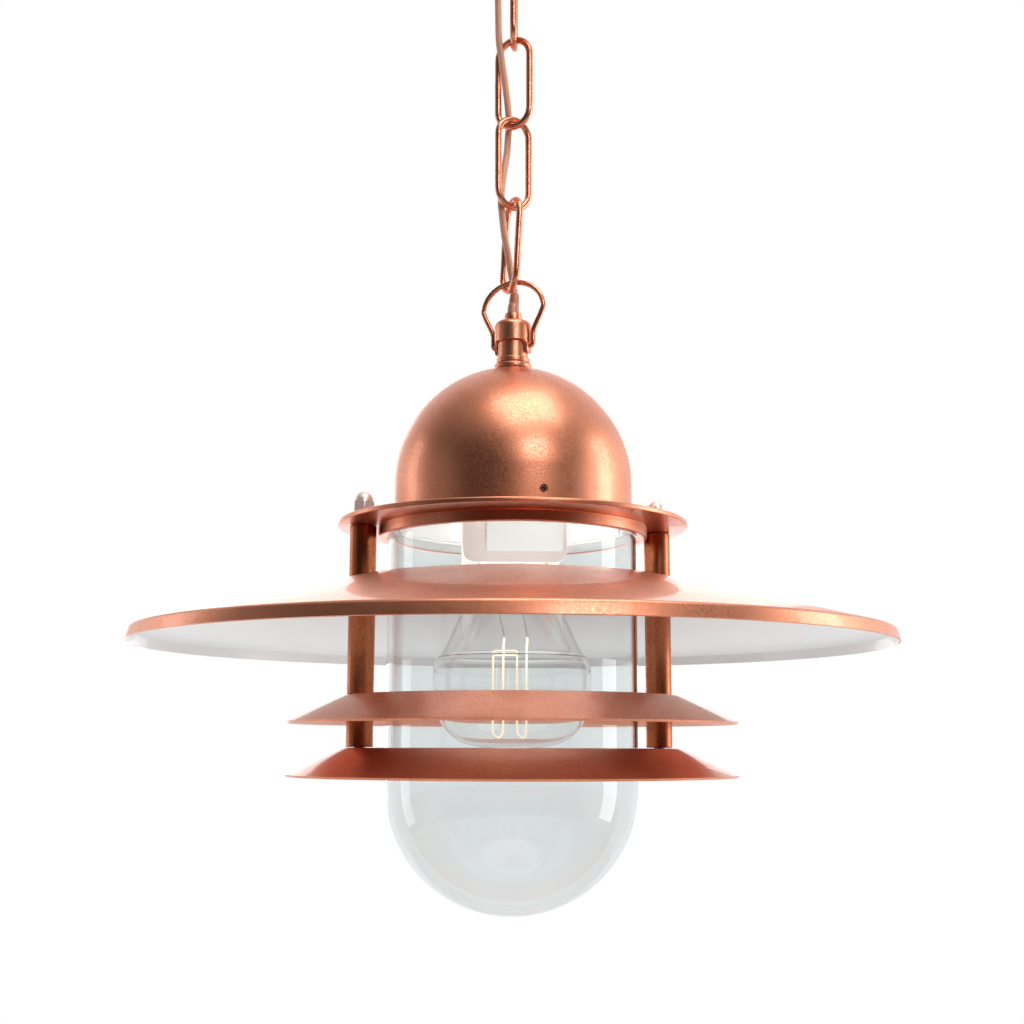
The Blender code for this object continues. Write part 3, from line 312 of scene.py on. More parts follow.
def satin_grain():
    """The shared finish of cast, spun and plated metal, as a node group.

    Colour runs from Deep to Bright with a slow cloud and a fine speckle, roughness follows the speckle
    between Smooth and Rough, and Relief is the speckle's height.
    """
    group = bpy.data.node_groups.new("metal grain", "ShaderNodeTree")
    for name, kind, value in (
        ("Deep", "NodeSocketColor", (0.6, 0.3, 0.2, 1.0)),
        ("Bright", "NodeSocketColor", (0.9, 0.5, 0.4, 1.0)),
        ("Speckle Scale", "NodeSocketFloat", 1400.0),
        ("Cloud Scale", "NodeSocketFloat", 45.0),
        ("Smooth", "NodeSocketFloat", 0.25),
        ("Rough", "NodeSocketFloat", 0.45),
    ):
        socket = group.interface.new_socket(name, in_out="INPUT", socket_type=kind)
        socket.default_value = value
    group.interface.new_socket("Colour", in_out="OUTPUT", socket_type="NodeSocketColor")
    group.interface.new_socket("Roughness", in_out="OUTPUT", socket_type="NodeSocketFloat")
    group.interface.new_socket("Relief", in_out="OUTPUT", socket_type="NodeSocketFloat")
    nodes, links = group.nodes, group.links
    given, put = nodes.new("NodeGroupInput"), nodes.new("NodeGroupOutput")
    place = nodes.new("ShaderNodeTexCoord")
    speckle = nodes.new("ShaderNodeTexNoise")
    speckle.inputs["Detail"].default_value = 2.0
    speckle.inputs["Roughness"].default_value = 0.65
    links.new(place.outputs["Object"], speckle.inputs["Vector"])
    links.new(given.outputs["Speckle Scale"], speckle.inputs["Scale"])
    cloud = nodes.new("ShaderNodeTexNoise")
    cloud.inputs["Detail"].default_value = 3.0
    links.new(place.outputs["Object"], cloud.inputs["Vector"])
    links.new(given.outputs["Cloud Scale"], cloud.inputs["Scale"])
    both = nodes.new("ShaderNodeMath")
    both.operation = "MULTIPLY_ADD"
    both.inputs[1].default_value = 0.55
    links.new(speckle.outputs["Fac"], both.inputs[0])
    half_cloud = nodes.new("ShaderNodeMath")
    half_cloud.operation = "MULTIPLY"
    half_cloud.inputs[1].default_value = 0.45
    links.new(cloud.outputs["Fac"], half_cloud.inputs[0])
    links.new(half_cloud.outputs[0], both.inputs[2])
    spread = nodes.new("ShaderNodeMapRange")
    spread.inputs["From Min"].default_value = 0.34
    spread.inputs["From Max"].default_value = 0.66
    links.new(both.outputs[0], spread.inputs["Value"])
    tint = nodes.new("ShaderNodeMix")
    tint.data_type = "RGBA"
    links.new(spread.outputs[0], tint.inputs[0])
    links.new(given.outputs["Deep"], tint.inputs[6])
    links.new(given.outputs["Bright"], tint.inputs[7])
    links.new(tint.outputs[2], put.inputs["Colour"])
    rub = nodes.new("ShaderNodeMapRange")
    rub.inputs["From Min"].default_value = 0.3
    rub.inputs["From Max"].default_value = 0.7
    links.new(speckle.outputs["Fac"], rub.inputs["Value"])
    links.new(given.outputs["Rough"], rub.inputs["To Min"])
    links.new(given.outputs["Smooth"], rub.inputs["To Max"])
    links.new(rub.outputs[0], put.inputs["Roughness"])
    links.new(speckle.outputs["Fac"], put.inputs["Relief"])
    return group


METAL_GRAIN = satin_grain()


def finish_of(name, deep, bright, rough, metallic=1.0, speckle=1400.0, cloud=45.0, relief=0.00004, coat=0.0):
    """A material whose colour, roughness and relief come from the metal grain group."""
    made = bpy.data.materials.new(name)
    made.use_nodes = True
    nodes, links = made.node_tree.nodes, made.node_tree.links
    shader = nodes["Principled BSDF"]
    shader.inputs["Metallic"].default_value = metallic
    shader.inputs["Coat Weight"].default_value = coat
    grain = nodes.new("ShaderNodeGroup")
    grain.node_tree = METAL_GRAIN
    grain.inputs["Deep"].default_value = (*deep, 1.0)
    grain.inputs["Bright"].default_value = (*bright, 1.0)
    grain.inputs["Smooth"].default_value, grain.inputs["Rough"].default_value = rough
    grain.inputs["Speckle Scale"].default_value = speckle
    grain.inputs["Cloud Scale"].default_value = cloud
    bump = nodes.new("ShaderNodeBump")
    bump.inputs["Strength"].default_value = 0.5
    bump.inputs["Distance"].default_value = relief
    links.new(grain.outputs["Colour"], shader.inputs["Base Color"])
    links.new(grain.outputs["Roughness"], shader.inputs["Roughness"])
    links.new(grain.outputs["Relief"], bump.inputs["Height"])
    links.new(bump.outputs["Normal"], shader.inputs["Normal"])
    return made


def wears(piece, *looks):
    """Give a piece its materials. One that has some already, as a CAD node has, loses those first."""
    if len(piece.data.materials):
        piece.data.materials.clear()
    for look in looks:
        piece.data.materials.append(look)
    return piece


def turned(name, node, look, corners, columns, body="lantern", at=(0.0, 0.0)):
    """A ring turned from (radius, height, bend) corners, which stands for a CAD node."""
    piece = spun(name, eased(corners), body, columns, at)
    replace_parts(wears(piece, look), node)


def stood(flat, yaw):
    """A flat line of (aside, height) stood upright: x = aside cos yaw, y = aside sin yaw, z = height."""
    return np.stack([flat[:, 0] * math.cos(yaw), flat[:, 0] * math.sin(yaw), flat[:, 1]], 1)


SATIN_COPPER = finish_of(
    "satin copper", (0.62, 0.215, 0.110), (0.78, 0.310, 0.188), (0.30, 0.46), speckle=950.0, relief=0.00008,
    coat=0.25,
)
DRAWN_COPPER = finish_of(
    "drawn copper wire", (0.54, 0.19, 0.10), (0.82, 0.36, 0.235), (0.22, 0.42), speckle=900.0, cloud=160.0
)
ZINC = finish_of("zinc plate", (0.50, 0.50, 0.48), (0.72, 0.72, 0.70), (0.25, 0.45), cloud=220.0)
BLACK_RUBBER = finish_of(
    "black rubber", (0.018, 0.018, 0.018), (0.04, 0.04, 0.04), (0.55, 0.75), metallic=0.0, relief=0.00003
)
GLAZED = finish_of(
    "glazed porcelain", (0.76, 0.75, 0.71), (0.86, 0.85, 0.81), (0.12, 0.22), metallic=0.0, cloud=70.0,
    coat=0.4,
)

SHEET = 0.0012
cup_radius, cup_height, cup_round = 0.055, 0.038, 0.012
shank = 0.0043
cup_outside = eased([(cup_radius, 0.0, 0), (cup_radius, -cup_height, cup_round), (shank, -cup_height, 0)], 16)
cup_inner, cup_floor = cup_radius - SHEET, SHEET - cup_height
cup_inside = eased(
    [(shank, cup_floor, 0), (cup_inner, cup_floor, cup_round - SHEET), (cup_inner, 0.0, 0)], 16
)
canopy = spun("canopy_cup", np.concatenate([cup_outside, cup_inside]), "ceiling")
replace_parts(wears(canopy, SATIN_COPPER), "canopy")

ring_low, ring_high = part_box("canopy_ring")
turned(
    "canopy_lock_ring", "canopy_ring", SATIN_COPPER,
    [
        (shank, ring_high.z, 0),
        (0.0090, ring_high.z, 0.0007),
        (0.0090, ring_low.z + 0.0016, 0.0004),
        (0.0082, ring_low.z + 0.0016, 0.0002),
        (0.0080, ring_low.z, 0.0008),
        (shank, ring_low.z, 0),
    ],
    96, "ceiling",
)

grommet_low, grommet_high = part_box("canopy_grommet")
grommet_at = ((grommet_low.x + grommet_high.x) / 2, (grommet_low.y + grommet_high.y) / 2)
waist_top, waist_low = cup_floor + 0.0003, -cup_height - 0.0003
turned(
    "canopy_cord_grommet", "canopy_grommet", BLACK_RUBBER,
    [
        (0.0024, grommet_high.z, 0),
        (0.0055, grommet_high.z, 0.0005),
        (0.0055, waist_top, 0.0002),
        (0.0040, waist_top, 0),
        (0.0040, waist_low, 0),
        (0.0055, waist_low, 0.0002),
        (0.0053, grommet_low.z, 0.0006),
        (0.0026, grommet_low.z, 0.0004),
        (0.0024, grommet_low.z + 0.0008, 0),
    ],
    64, "ceiling", grommet_at,
)

hook_eye_z, hook_eye_radius, hook_wire = -0.0583, 0.010, 0.0025
shank_end = hook_eye_z + hook_eye_radius + 0.0028
hook_start = [(0.0, -0.0038), (0.0, -0.020), (0.0, shank_end + 0.0022), (0.0, shank_end + 0.0008)]
hook_start.append((0.0003, shank_end - 0.0008))
hook_flat = fair(np.concatenate([hook_start, bent((0.0, hook_eye_z), hook_eye_radius, 76.0, -210.0, 22)]), 4)
hook_yaw = math.radians(-12.0)
hook_place = np.arange(len(hook_flat))
neck_in = np.clip((hook_flat[:, 1] - (shank_end - 0.0006)) / 0.0035, 0.0, 1.0) * (hook_place < 24)
hook_radius = hook_wire + (0.0040 - hook_wire) * neck_in * neck_in * (3.0 - 2.0 * neck_in)
hook_tip = np.clip((len(hook_flat) - 1 - hook_place) / 3.0, 0.0, 1.0)
hook = swept(
    "hook_wire",
    stood(hook_flat, hook_yaw),
    hook_radius * np.sqrt(1.0 - 0.75 * (1.0 - hook_tip) ** 2),
    (math.sin(hook_yaw), -math.cos(hook_yaw), 0.0),
    "ceiling",
    sides=28,
)
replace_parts(wears(hook, DRAWN_COPPER), "ceiling_hook")

for hidden in ("ceiling_plate", "hook_locknut"):
    wears(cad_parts[hidden], ZINC)
wears(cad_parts["terminal_block"], GLAZED)

# ------------------------------------------------------------------ chain
# Four links of drawn copper-plated wire, each bent round a former and butt welded on one side, where the
# weld stands a little proud. The lowest one leans, because the lantern's cord pushes it over.
wire_radius, link_half, link_pitch = 0.0019, 0.00995, 0.0476
link_feet = {4: (0.0, 0.0, -0.1153), 3: (0.0, 0.0, -0.1629), 2: (0.0, 0.0, -0.2105)}
link_feet[1] = (-0.0022, 0.0015, -0.258025)
link_heads = {4: (0.0, 0.0, -0.0683), 3: link_feet[4], 2: link_feet[3], 1: link_feet[2]}
link_yaws = {4: 78.0, 3: -38.0, 2: 22.0, 1: -78.0}
inner_length = link_pitch + 0.0003


def chain_link(number):
    """A closed wire of two half rounds and two straights, placed from its foot's bar to its head's."""
    low, high = link_half, inner_length + 2 * wire_radius - link_half
    foot = bent((0.0, low), link_half, 180.0, 360.0, 20)
    head = bent((0.0, high), link_half, 0.0, 180.0, 20)
    rise = np.linspace(low, high, 14)[1:-1]
    up = np.stack([np.full(12, link_half), rise], 1)
    down = np.stack([np.full(12, -link_half), rise[::-1]], 1)
    flat = np.concatenate([foot, up, head, down])
    weld = np.exp(-(((flat[:, 1] - (low + high) / 2) / 0.0016) ** 2)) * (flat[:, 0] < 0.0)
    base, top = Vector(link_feet[number]), Vector(link_heads[number])
    lean = (top - base).normalized()
    yaw = math.radians(link_yaws[number])
    across = Vector((math.cos(yaw), math.sin(yaw), 0.0))
    across = (across - lean * across.dot(lean)).normalized()
    line = np.array(base) + flat[:, :1] * np.array(across) + flat[:, 1:] * np.array(lean)
    wire = wire_radius * (1.0 + 0.07 * weld)
    body = f"link_{number}"
    link = swept(f"chain_wire_{number}", line, wire, tuple(across.cross(lean)), body, closed=True, sides=28)
    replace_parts(wears(link, DRAWN_COPPER), f"chain_link_{number}")


for number in (4, 3, 2, 1):
    chain_link(number)

# ------------------------------------------------------------------ cord
# Round flex of 3.8 mm in a braided copper-coloured sleeve. It comes out of the canopy's grommet, winds down
# through the chain and goes into the strain relief on top of the lantern's neck.
cord_diameter = 0.0038
relief_low, relief_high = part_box("strain_relief")
gland_low, gland_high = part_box("gland_nut")
cord_route = (
    (-0.0181, -0.0049, -0.0150),
    (-0.0181, -0.0049, -0.0310),
    (-0.0177, -0.0050, -0.0420),
    (-0.0146, -0.0049, -0.0560),
    (-0.0116, -0.0036, -0.0700),
    (-0.0096, -0.0016, -0.0870),
    (-0.0087, -0.0003, -0.1110),
    (-0.0067, 0.0008, -0.1240),
    (-0.0047, 0.0022, -0.1355),
    (-0.0028, 0.0042, -0.1474),
    (-0.0015, 0.0064, -0.1582),
    (-0.0020, 0.0066, -0.1653),
    (-0.0030, 0.0054, -0.1771),
    (-0.0049, 0.0035, -0.1890),
    (-0.0067, 0.0020, -0.2050),
    (-0.0058, 0.0027, -0.2150),
    (-0.0044, 0.0040, -0.2250),
    (-0.0022, 0.0051, -0.2355),
    (-0.0002, 0.0057, -0.2470),
    (0.0016, 0.0055, -0.2565),
    (0.0012, 0.0035, -0.2632),
    (0.0001, 0.0003, -0.2690),
    (0.0000, 0.0000, -0.2755),
    (0.0000, 0.0000, -0.2820),
)
cord_levels = (-0.0155, -0.0890, -0.1370, -0.1850, -0.2150, -0.2450, -0.2780)
cord_line = fair(cord_route, 24)
tuck = 0.0008


def falling(top, foot, spacing=0.0007):
    """The cord's line between two heights, evenly spaced in height."""
    z = np.linspace(top, foot, max(4, round((top - foot) / spacing)))
    x = np.interp(-z, -cord_line[:, 2], cord_line[:, 0])
    y = np.interp(-z, -cord_line[:, 2], cord_line[:, 1])
    return np.stack([x, y, z], 1)


def braided(name, deep, bright, painted_groove_shade):
    """Two sets of strands that cross aslant round the cord.

    With u round it and v along it, the strands are ridges of u plus or minus v, and where one set is on top
    the other is under it. The colour follows the same ridges: darkest between the strands, which is painted
    shade, and brightest along their crowns, which is a painted highlight, with the sleeving's own copper
    between.
    """
    made = bpy.data.materials.new(name)
    made.use_nodes = True
    nodes, links = made.node_tree.nodes, made.node_tree.links
    shader = nodes["Principled BSDF"]
    place = nodes.new("ShaderNodeUVMap")
    place.uv_map = "UVMap"
    apart = nodes.new("ShaderNodeSeparateXYZ")
    links.new(place.outputs[0], apart.inputs[0])

    def sum_of(a, b, operation, value=0.0):
        step = nodes.new("ShaderNodeMath")
        step.operation = operation
        for socket, source in zip(step.inputs, (a, b)):
            if source is None:
                socket.default_value = value
            else:
                links.new(source, socket)
        return step.outputs[0]

    strands, lay = 8.0, 520.0
    round_it = sum_of(apart.outputs["X"], None, "MULTIPLY", strands)
    along_it = sum_of(apart.outputs["Y"], None, "MULTIPLY", lay)
    ridges = []
    for turn in ("ADD", "SUBTRACT"):
        slant = sum_of(round_it, along_it, turn)
        saw = sum_of(slant, None, "FRACT")
        off = sum_of(saw, None, "SUBTRACT", 0.5)
        wide = sum_of(off, None, "ABSOLUTE")
        ridges.append(sum_of(wide, None, "MULTIPLY", 2.0))
    weave = sum_of(ridges[0], ridges[1], "MAXIMUM")
    # The ramp paints shade between the strands and a highlight along their crowns.
    ramp = nodes.new("ShaderNodeValToRGB")
    ramp.color_ramp.elements[0].color = (*painted_groove_shade, 1.0)
    ramp.color_ramp.elements[0].position = 0.25
    ramp.color_ramp.elements[1].color = (*bright, 1.0)
    ramp.color_ramp.elements[1].position = 0.85
    middle = ramp.color_ramp.elements.new(0.5)
    middle.color = (*deep, 1.0)
    links.new(weave, ramp.inputs[0])
    links.new(ramp.outputs[0], shader.inputs["Base Color"])
    shader.inputs["Roughness"].default_value = 0.55
    shader.inputs["Metallic"].default_value = 0.35
    shader.inputs["Sheen Weight"].default_value = 0.15
    bump = nodes.new("ShaderNodeBump")
    bump.inputs["Strength"].default_value = 0.6
    bump.inputs["Distance"].default_value = 0.0002
    links.new(weave, bump.inputs["Height"])
    links.new(bump.outputs["Normal"], shader.inputs["Normal"])
    return made


# Its darkest colour is painted shade between the strands, and its brightest a painted highlight on them.
SLEEVING_WITH_PAINTED_SHADE = braided("braided copper sleeving with painted shade", (0.62, 0.28, 0.17), (0.86, 0.50, 0.36), (0.30, 0.11, 0.06))
relief_line = falling(relief_high.z, relief_low.z, 0.00025)
below_tip = np.clip((relief_high.z - relief_line[:, 2]) / (relief_high.z - gland_high.z), 0.0, 1.0)
rib = 0.5 - 0.5 * np.cos(2.0 * np.pi * np.clip(below_tip, 0.0, 1.0) * 3.0)
taper = 0.00262 + (0.0034 - 0.00262) * below_tip
relief_radius = taper * (1.0 - 0.045 * rib * (below_tip < 0.999))
relief_radius[:3] *= (0.86, 0.95, 0.99)
relief_grip = swept("strain_relief_grip", relief_line, relief_radius, (1.0, 0.0, 0.0), None, sides=40)
COPPER_RUBBER = finish_of(
    "copper-coloured rubber", (0.42, 0.17, 0.10), (0.62, 0.30, 0.20), (0.35, 0.55), metallic=0.45,
    relief=0.00003,
)
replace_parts(wears(relief_grip, COPPER_RUBBER), "strain_relief")
for number, (top, foot) in enumerate(zip(cord_levels, cord_levels[1:])):
    path = falling(top if number == 0 else top + tuck, foot)
    slim = np.where(path[:, 2] > top - 0.0002, 0.97, 1.0) if number else np.ones(len(path))
    girth = cord_diameter / 2 * slim
    piece = swept(f"cord_sleeve_{number + 1}", path, girth, (1.0, 0.0, 0.0), None, sides=28)
    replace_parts(wears(piece, SLEEVING_WITH_PAINTED_SHADE), f"cord_{number + 1}")
    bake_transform(piece)
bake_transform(relief_grip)

# ------------------------------------------------------------------ bail and neck
# The bail is one bent wire whose inturned ends are pivots in the ears of a deep cap. The cap is screwed on
# the neck tube, and a gland nut on top grips the strain relief. A stepped ring nut holds the dome down.
bail_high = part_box("bail")[1]
saddle_low, saddle_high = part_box("saddle")
ears_foot = saddle_low.z
pivot_z = ears_foot + 0.0040
bail_yaw = math.radians(-35.0)
bail_radius = 0.00145
bail_top = bail_high.z - bail_radius
leg_out, bail_half, shoulder_drop, leg_corner = 0.0120, 0.0180, 0.0156, 0.0020
half_bail = np.concatenate(
    [
        [(0.0088, pivot_z), (0.0094, pivot_z)],
        bent((leg_out - leg_corner, pivot_z + leg_corner), leg_corner, -90.0, 0.0, 8),
        fair(
            [
                (leg_out, pivot_z + 0.0032),
                (leg_out, pivot_z + 0.0070),
                (leg_out + 0.0008, pivot_z + 0.0100),
                (leg_out + 0.0025, pivot_z + 0.0135),
                (leg_out + 0.0042, pivot_z + 0.0168),
                (bail_half, bail_top - shoulder_drop),
                *bent((0.0, bail_top - shoulder_drop), bail_half, 8.0, 88.0, 10, shoulder_drop / bail_half),
            ],
            4,
        ),
    ]
)
bail_flat = np.concatenate([half_bail, half_bail[::-1] * (-1.0, 1.0)])
bail_across = (math.sin(bail_yaw), -math.cos(bail_yaw), 0.0)
bail = swept("bail_wire", stood(bail_flat, bail_yaw), bail_radius, bail_across, "bail_body", sides=28)
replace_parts(wears(bail, DRAWN_COPPER), "bail")


def eared_cap(name):
    """A turned cap whose skirt is cut away at the front and back, which leaves an ear at each side.

    With d the distance to the side of the ears' middle plane, the foot is level at the ears' own height
    while d is less than half an ear, with a small round at its corner, and beyond it the skirt's edge,
    which a larger round joins to the ear.
    """
    outer, wall, crown_round = 0.0101, 0.00155, 0.0035
    bore, top, hole = outer - wall, saddle_high.z, 0.0039
    ear_half, edge_height, fillet, corner = 0.0028, 0.0065, 0.0030, 0.0012
    b = np.linspace(0.0, 2.0 * np.pi, 480, endpoint=False)

    def foot(radius):
        aside = np.abs(radius * np.sin(b))
        past_corner = np.clip(aside - ear_half + corner, 0.0, corner)
        past_fillet = np.clip(ear_half + fillet - aside, 0.0, fillet)
        tab = corner - np.sqrt(np.maximum(corner**2 - past_corner**2, 0.0))
        joint = edge_height - fillet + np.sqrt(np.maximum(fillet**2 - past_fillet**2, 0.0))
        return ears_foot + np.where(aside < ear_half, tab, joint)

    def ring(radius, z):
        return np.stack([np.full(480, radius), np.broadcast_to(z, (480,))], -1)

    shoulder = bent((outer - crown_round, top - crown_round), crown_round, 90.0, 0.0, 10)
    skirt_top = top - crown_round
    rows = [ring(hole, top), ring(hole + 0.0006, top)]
    rows += [ring(x, z) for x, z in shoulder]
    skirt_drop = foot(outer) + 0.0002 - skirt_top
    rows += [ring(outer, skirt_top + skirt_drop * s) for s in np.linspace(0.05, 1.0, 16)]
    rows += [ring(outer - 0.0002, foot(outer)), ring(bore, foot(bore))]
    rows += [ring(bore, foot(bore) + (top - wall - foot(bore)) * s) for s in np.linspace(0.1, 1.0, 8)]
    rows += [ring(hole, top - wall)]
    grid = np.stack(rows)
    turn = b + bail_yaw
    points = np.stack([grid[..., 0] * np.cos(turn), grid[..., 0] * np.sin(turn), grid[..., 1]], -1)
    return surface(name, points, "lantern", rings_meet=True)


saddle = eared_cap("saddle_cap")
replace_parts(wears(saddle, SATIN_COPPER), "saddle")

turned(
    "gland_ring", "gland_nut", SATIN_COPPER,
    [
        (0.0039, gland_high.z, 0),
        (0.0046, gland_high.z, 0.0005),
        (0.0046, gland_high.z - 0.0012, 0.0002),
        (0.0049, gland_high.z - 0.0014, 0.0002),
        (0.0049, gland_low.z, 0.0004),
        (0.0039, gland_low.z, 0),
    ],
    96,
)

nut_low, nut_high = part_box("neck_nut")
crown_z = nut_low.z
turned(
    "neck_ring_nut", "neck_nut", SATIN_COPPER,
    [
        (0.0086, nut_high.z, 0),
        (0.0092, nut_high.z, 0.0006),
        (0.0092, crown_z + 0.0036, 0.0003),
        (0.0086, crown_z + 0.0033, 0.0002),
        (0.0088, crown_z + 0.0028, 0.0002),
        (0.0104, crown_z + 0.0027, 0.0009),
        (0.0104, crown_z, 0.0006),
        (0.0086, crown_z, 0),
    ],
    128,
)

tube_low, tube_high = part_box("neck_tube")
turned(
    "neck_pipe", "neck_tube", SATIN_COPPER,
    [
        (0.0045, tube_high.z, 0),
        (0.00825, tube_high.z, 0.0005),
        (0.00825, tube_low.z, 0.0005),
        (0.0045, tube_low.z, 0),
    ],
    96,
)
wears(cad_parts["supply_lead"], COPPER_RUBBER)

# ------------------------------------------------------------------ dome and top plate
# The dome is spun copper sheet with a straight skirt, enamelled white inside. It sits on the spigot of a
# turned plate, where three grub screws hold it. The plate's collar, threaded inside, holds the glass.
dome_radius = 0.0643
dome_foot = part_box("dome")[0].z
dome_middle = dome_foot + 0.0211
plate_low, plate_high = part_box("top_plate")
plate_top = dome_foot - 0.0003
plate_under = plate_top - 0.0025
neck_hole = 0.00855
crown_angle = math.degrees(math.acos(neck_hole / dome_radius))
inner_crown = math.degrees(math.acos(neck_hole / (dome_radius - SHEET)))
dome_outside = np.concatenate(
    [
        bent((0.0, dome_middle), dome_radius, crown_angle, 0.0, 60),
        np.stack([np.full(10, dome_radius), np.linspace(dome_middle, dome_foot + 0.0003, 11)[1:]], 1),
    ]
)
dome_inside = np.concatenate(
    [
        [(dome_radius - 0.0003, dome_foot), (dome_radius - SHEET, dome_foot)],
        bent((0.0, dome_middle), dome_radius - SHEET, 0.0, inner_crown, 40),
    ]
)
ENAMEL = finish_of(
    "white enamel", (0.875, 0.89, 0.89), (0.905, 0.915, 0.915), (0.33, 0.36), metallic=0.0, speckle=700.0,
    cloud=30.0, relief=0.000004, coat=0.25,
)
outer_rows = len(dome_outside) + 1
dome = spun(
    "dome_shell",
    np.concatenate([dome_outside, dome_inside]),
    None,
    288,
    slots=[0] * outer_rows + [1] * (len(dome_outside) + len(dome_inside) - outer_rows),
)
grub_angles = [math.radians(-86.0 + 120.0 * k) for k in range(3)]
grub_z = plate_top + 0.0093


def cut_round(piece, angle, radius):
    """Bore a level round hole through the wall of a piece, at this angle about the upright axis."""
    inner, outer = 0.054, 0.070
    a = np.linspace(0.0, 2.0 * np.pi, 32, endpoint=False)
    along = np.array([inner, inner, outer, outer])[:, None]
    spread = np.array([0.0, radius, radius, 0.0])[:, None]
    side = spread * np.cos(a)
    up = grub_z + spread * np.sin(a)
    x = along * math.cos(angle) - side * math.sin(angle)
    y = along * math.sin(angle) + side * math.cos(angle)
    tool = surface("bore", np.stack([x, y, up], -1), None)
    step = piece.modifiers.new("bore", "BOOLEAN")
    step.operation = "DIFFERENCE"
    step.solver = "EXACT"
    step.object = tool
    return tool


def made_solid(piece, tools):
    """Keep the piece as its modifiers leave it, and put the tools away."""
    bpy.context.view_layer.update()
    old = piece.data
    piece.data = bpy.data.meshes.new_from_object(piece.evaluated_get(bpy.context.evaluated_depsgraph_get()))
    piece.modifiers.clear()
    bpy.data.meshes.remove(old)
    for tool in tools:
        bpy.data.objects.remove(tool, do_unlink=True)
    piece.data.set_sharp_from_angle(angle=math.radians(40.0))


wears(dome, SATIN_COPPER, ENAMEL)
made_solid(dome, [cut_round(dome, angle, 0.0022) for angle in grub_angles])
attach(dome, "lantern")
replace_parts(dome, "dome")

spigot, spigot_bore = 0.0625, 0.0600
collar_bore, collar = 0.0672, 0.0720
collar_foot = plate_low.z
plate_profile = eased(
    [
        (spigot_bore, plate_high.z, 0),
        (spigot, plate_high.z, 0.0005),
        (spigot, plate_top, 0.0002),
        (0.0934, plate_top, 0.0009),
        (0.0934, plate_under, 0.0006),
        (collar, plate_under, 0.0005),
        (collar, collar_foot, 0.0007),
        (collar_bore, collar_foot, 0.0009),
        (collar_bore, plate_under + 0.0006, 0.0003),
        (spigot_bore, plate_under + 0.0006, 0.0003),
        (spigot_bore, plate_high.z, 0),
    ],
    6,
)[:-1]
plate_inside = (plate_profile[:, 0] < collar_bore + 0.0002) & (plate_profile[:, 1] < plate_under + 0.0010)
top_plate = spun("top_plate_ring", plate_profile, None, 240, slots=plate_inside.astype(int))
wears(top_plate, SATIN_COPPER, ENAMEL)
made_solid(top_plate, [cut_round(top_plate, angle, 0.0022) for angle in grub_angles])
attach(top_plate, "lantern")
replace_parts(top_plate, "top_plate")
BROWNED_STEEL = finish_of(
    "browned screw steel", (0.10, 0.035, 0.02), (0.22, 0.085, 0.05), (0.3, 0.5), cloud=300.0
)
for number in (1, 2, 3):
    wears(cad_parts[f"grub_screw_{number}"], BROWNED_STEEL)

# ------------------------------------------------------------------ glass jar
# A heavy pressed jar of clear glass with a straight wall and a round bottom, screwed up into the collar
# against a white silicone ring. Its thick wall gathers the light at both edges.
def clear_glass(name, tint, waves, smooth):
    """Clear glass with faint waves from pressing. Lamps' light passes straight through it."""
    made = bpy.data.materials.new(name)
    made.use_nodes = True
    nodes, links = made.node_tree.nodes, made.node_tree.links
    shader, out = nodes["Principled BSDF"], nodes["Material Output"]
    shader.inputs["Base Color"].default_value = (*tint, 1.0)
    shader.inputs["Transmission Weight"].default_value = 1.0
    shader.inputs["IOR"].default_value = 1.46
    place = nodes.new("ShaderNodeTexCoord")
    noise = nodes.new("ShaderNodeTexNoise")
    noise.inputs["Scale"].default_value = waves
    noise.inputs["Detail"].default_value = 1.0
    links.new(place.outputs["Object"], noise.inputs["Vector"])
    cloudy = nodes.new("ShaderNodeMapRange")
    cloudy.inputs["To Min"].default_value, cloudy.inputs["To Max"].default_value = smooth
    links.new(noise.outputs["Fac"], cloudy.inputs["Value"])
    links.new(cloudy.outputs[0], shader.inputs["Roughness"])
    bump = nodes.new("ShaderNodeBump")
    bump.inputs["Strength"].default_value = 0.15
    bump.inputs["Distance"].default_value = 0.0003
    links.new(noise.outputs["Fac"], bump.inputs["Height"])
    links.new(bump.outputs["Normal"], shader.inputs["Normal"])
    ray = nodes.new("ShaderNodeLightPath")
    through = nodes.new("ShaderNodeBsdfTransparent")
    through.inputs["Color"].default_value = (0.95, 0.96, 0.96, 1.0)
    pick = nodes.new("ShaderNodeMixShader")
    links.new(ray.outputs["Is Shadow Ray"], pick.inputs[0])
    links.new(shader.outputs[0], pick.inputs[1])
    links.new(through.outputs[0], pick.inputs[2])
    links.new(pick.outputs[0], out.inputs["Surface"])
    return made


JAR_GLASS = clear_glass("pressed jar glass", (0.915, 0.932, 0.932), 22.0, (0.0, 0.02))
jar_low, jar_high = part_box("glass_jar")
jar_radius, jar_wall = 0.0664, 0.0030
jar_middle = jar_low.z + jar_radius
rim_round = 0.0009
jar_outside = np.concatenate(
    [
        bent((jar_radius - rim_round, jar_high.z - rim_round), rim_round, 90.0, 0.0, 5),
        np.stack([np.full(24, jar_radius), np.linspace(jar_high.z - rim_round, jar_middle, 25)[1:]], 1),
        bent((0.0, jar_middle), jar_radius, 0.0, -90.0, 56)[1:],
    ]
)
jar_inner = jar_radius - jar_wall
jar_inside = np.concatenate(
    [
        bent((0.0, jar_middle), jar_inner, -90.0, 0.0, 56),
        np.stack([np.full(24, jar_inner), np.linspace(jar_middle, jar_high.z - rim_round, 25)[1:]], 1),
        bent((jar_inner + rim_round, jar_high.z - rim_round), rim_round, 180.0, 90.0, 5)[1:],
    ]
)
jar_outside[-1, 0] = jar_inside[0, 0] = 0.0
jar = spun("jar_glass", np.concatenate([jar_outside[::-1], jar_inside[::-1]]), "lantern", 192)
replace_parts(wears(jar, JAR_GLASS), "glass_jar")
SILICONE = finish_of(
    "white silicone", (0.74, 0.74, 0.72), (0.82, 0.82, 0.80), (0.4, 0.55), metallic=0.0, relief=0.00002
)
gasket_low, gasket_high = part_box("gasket")
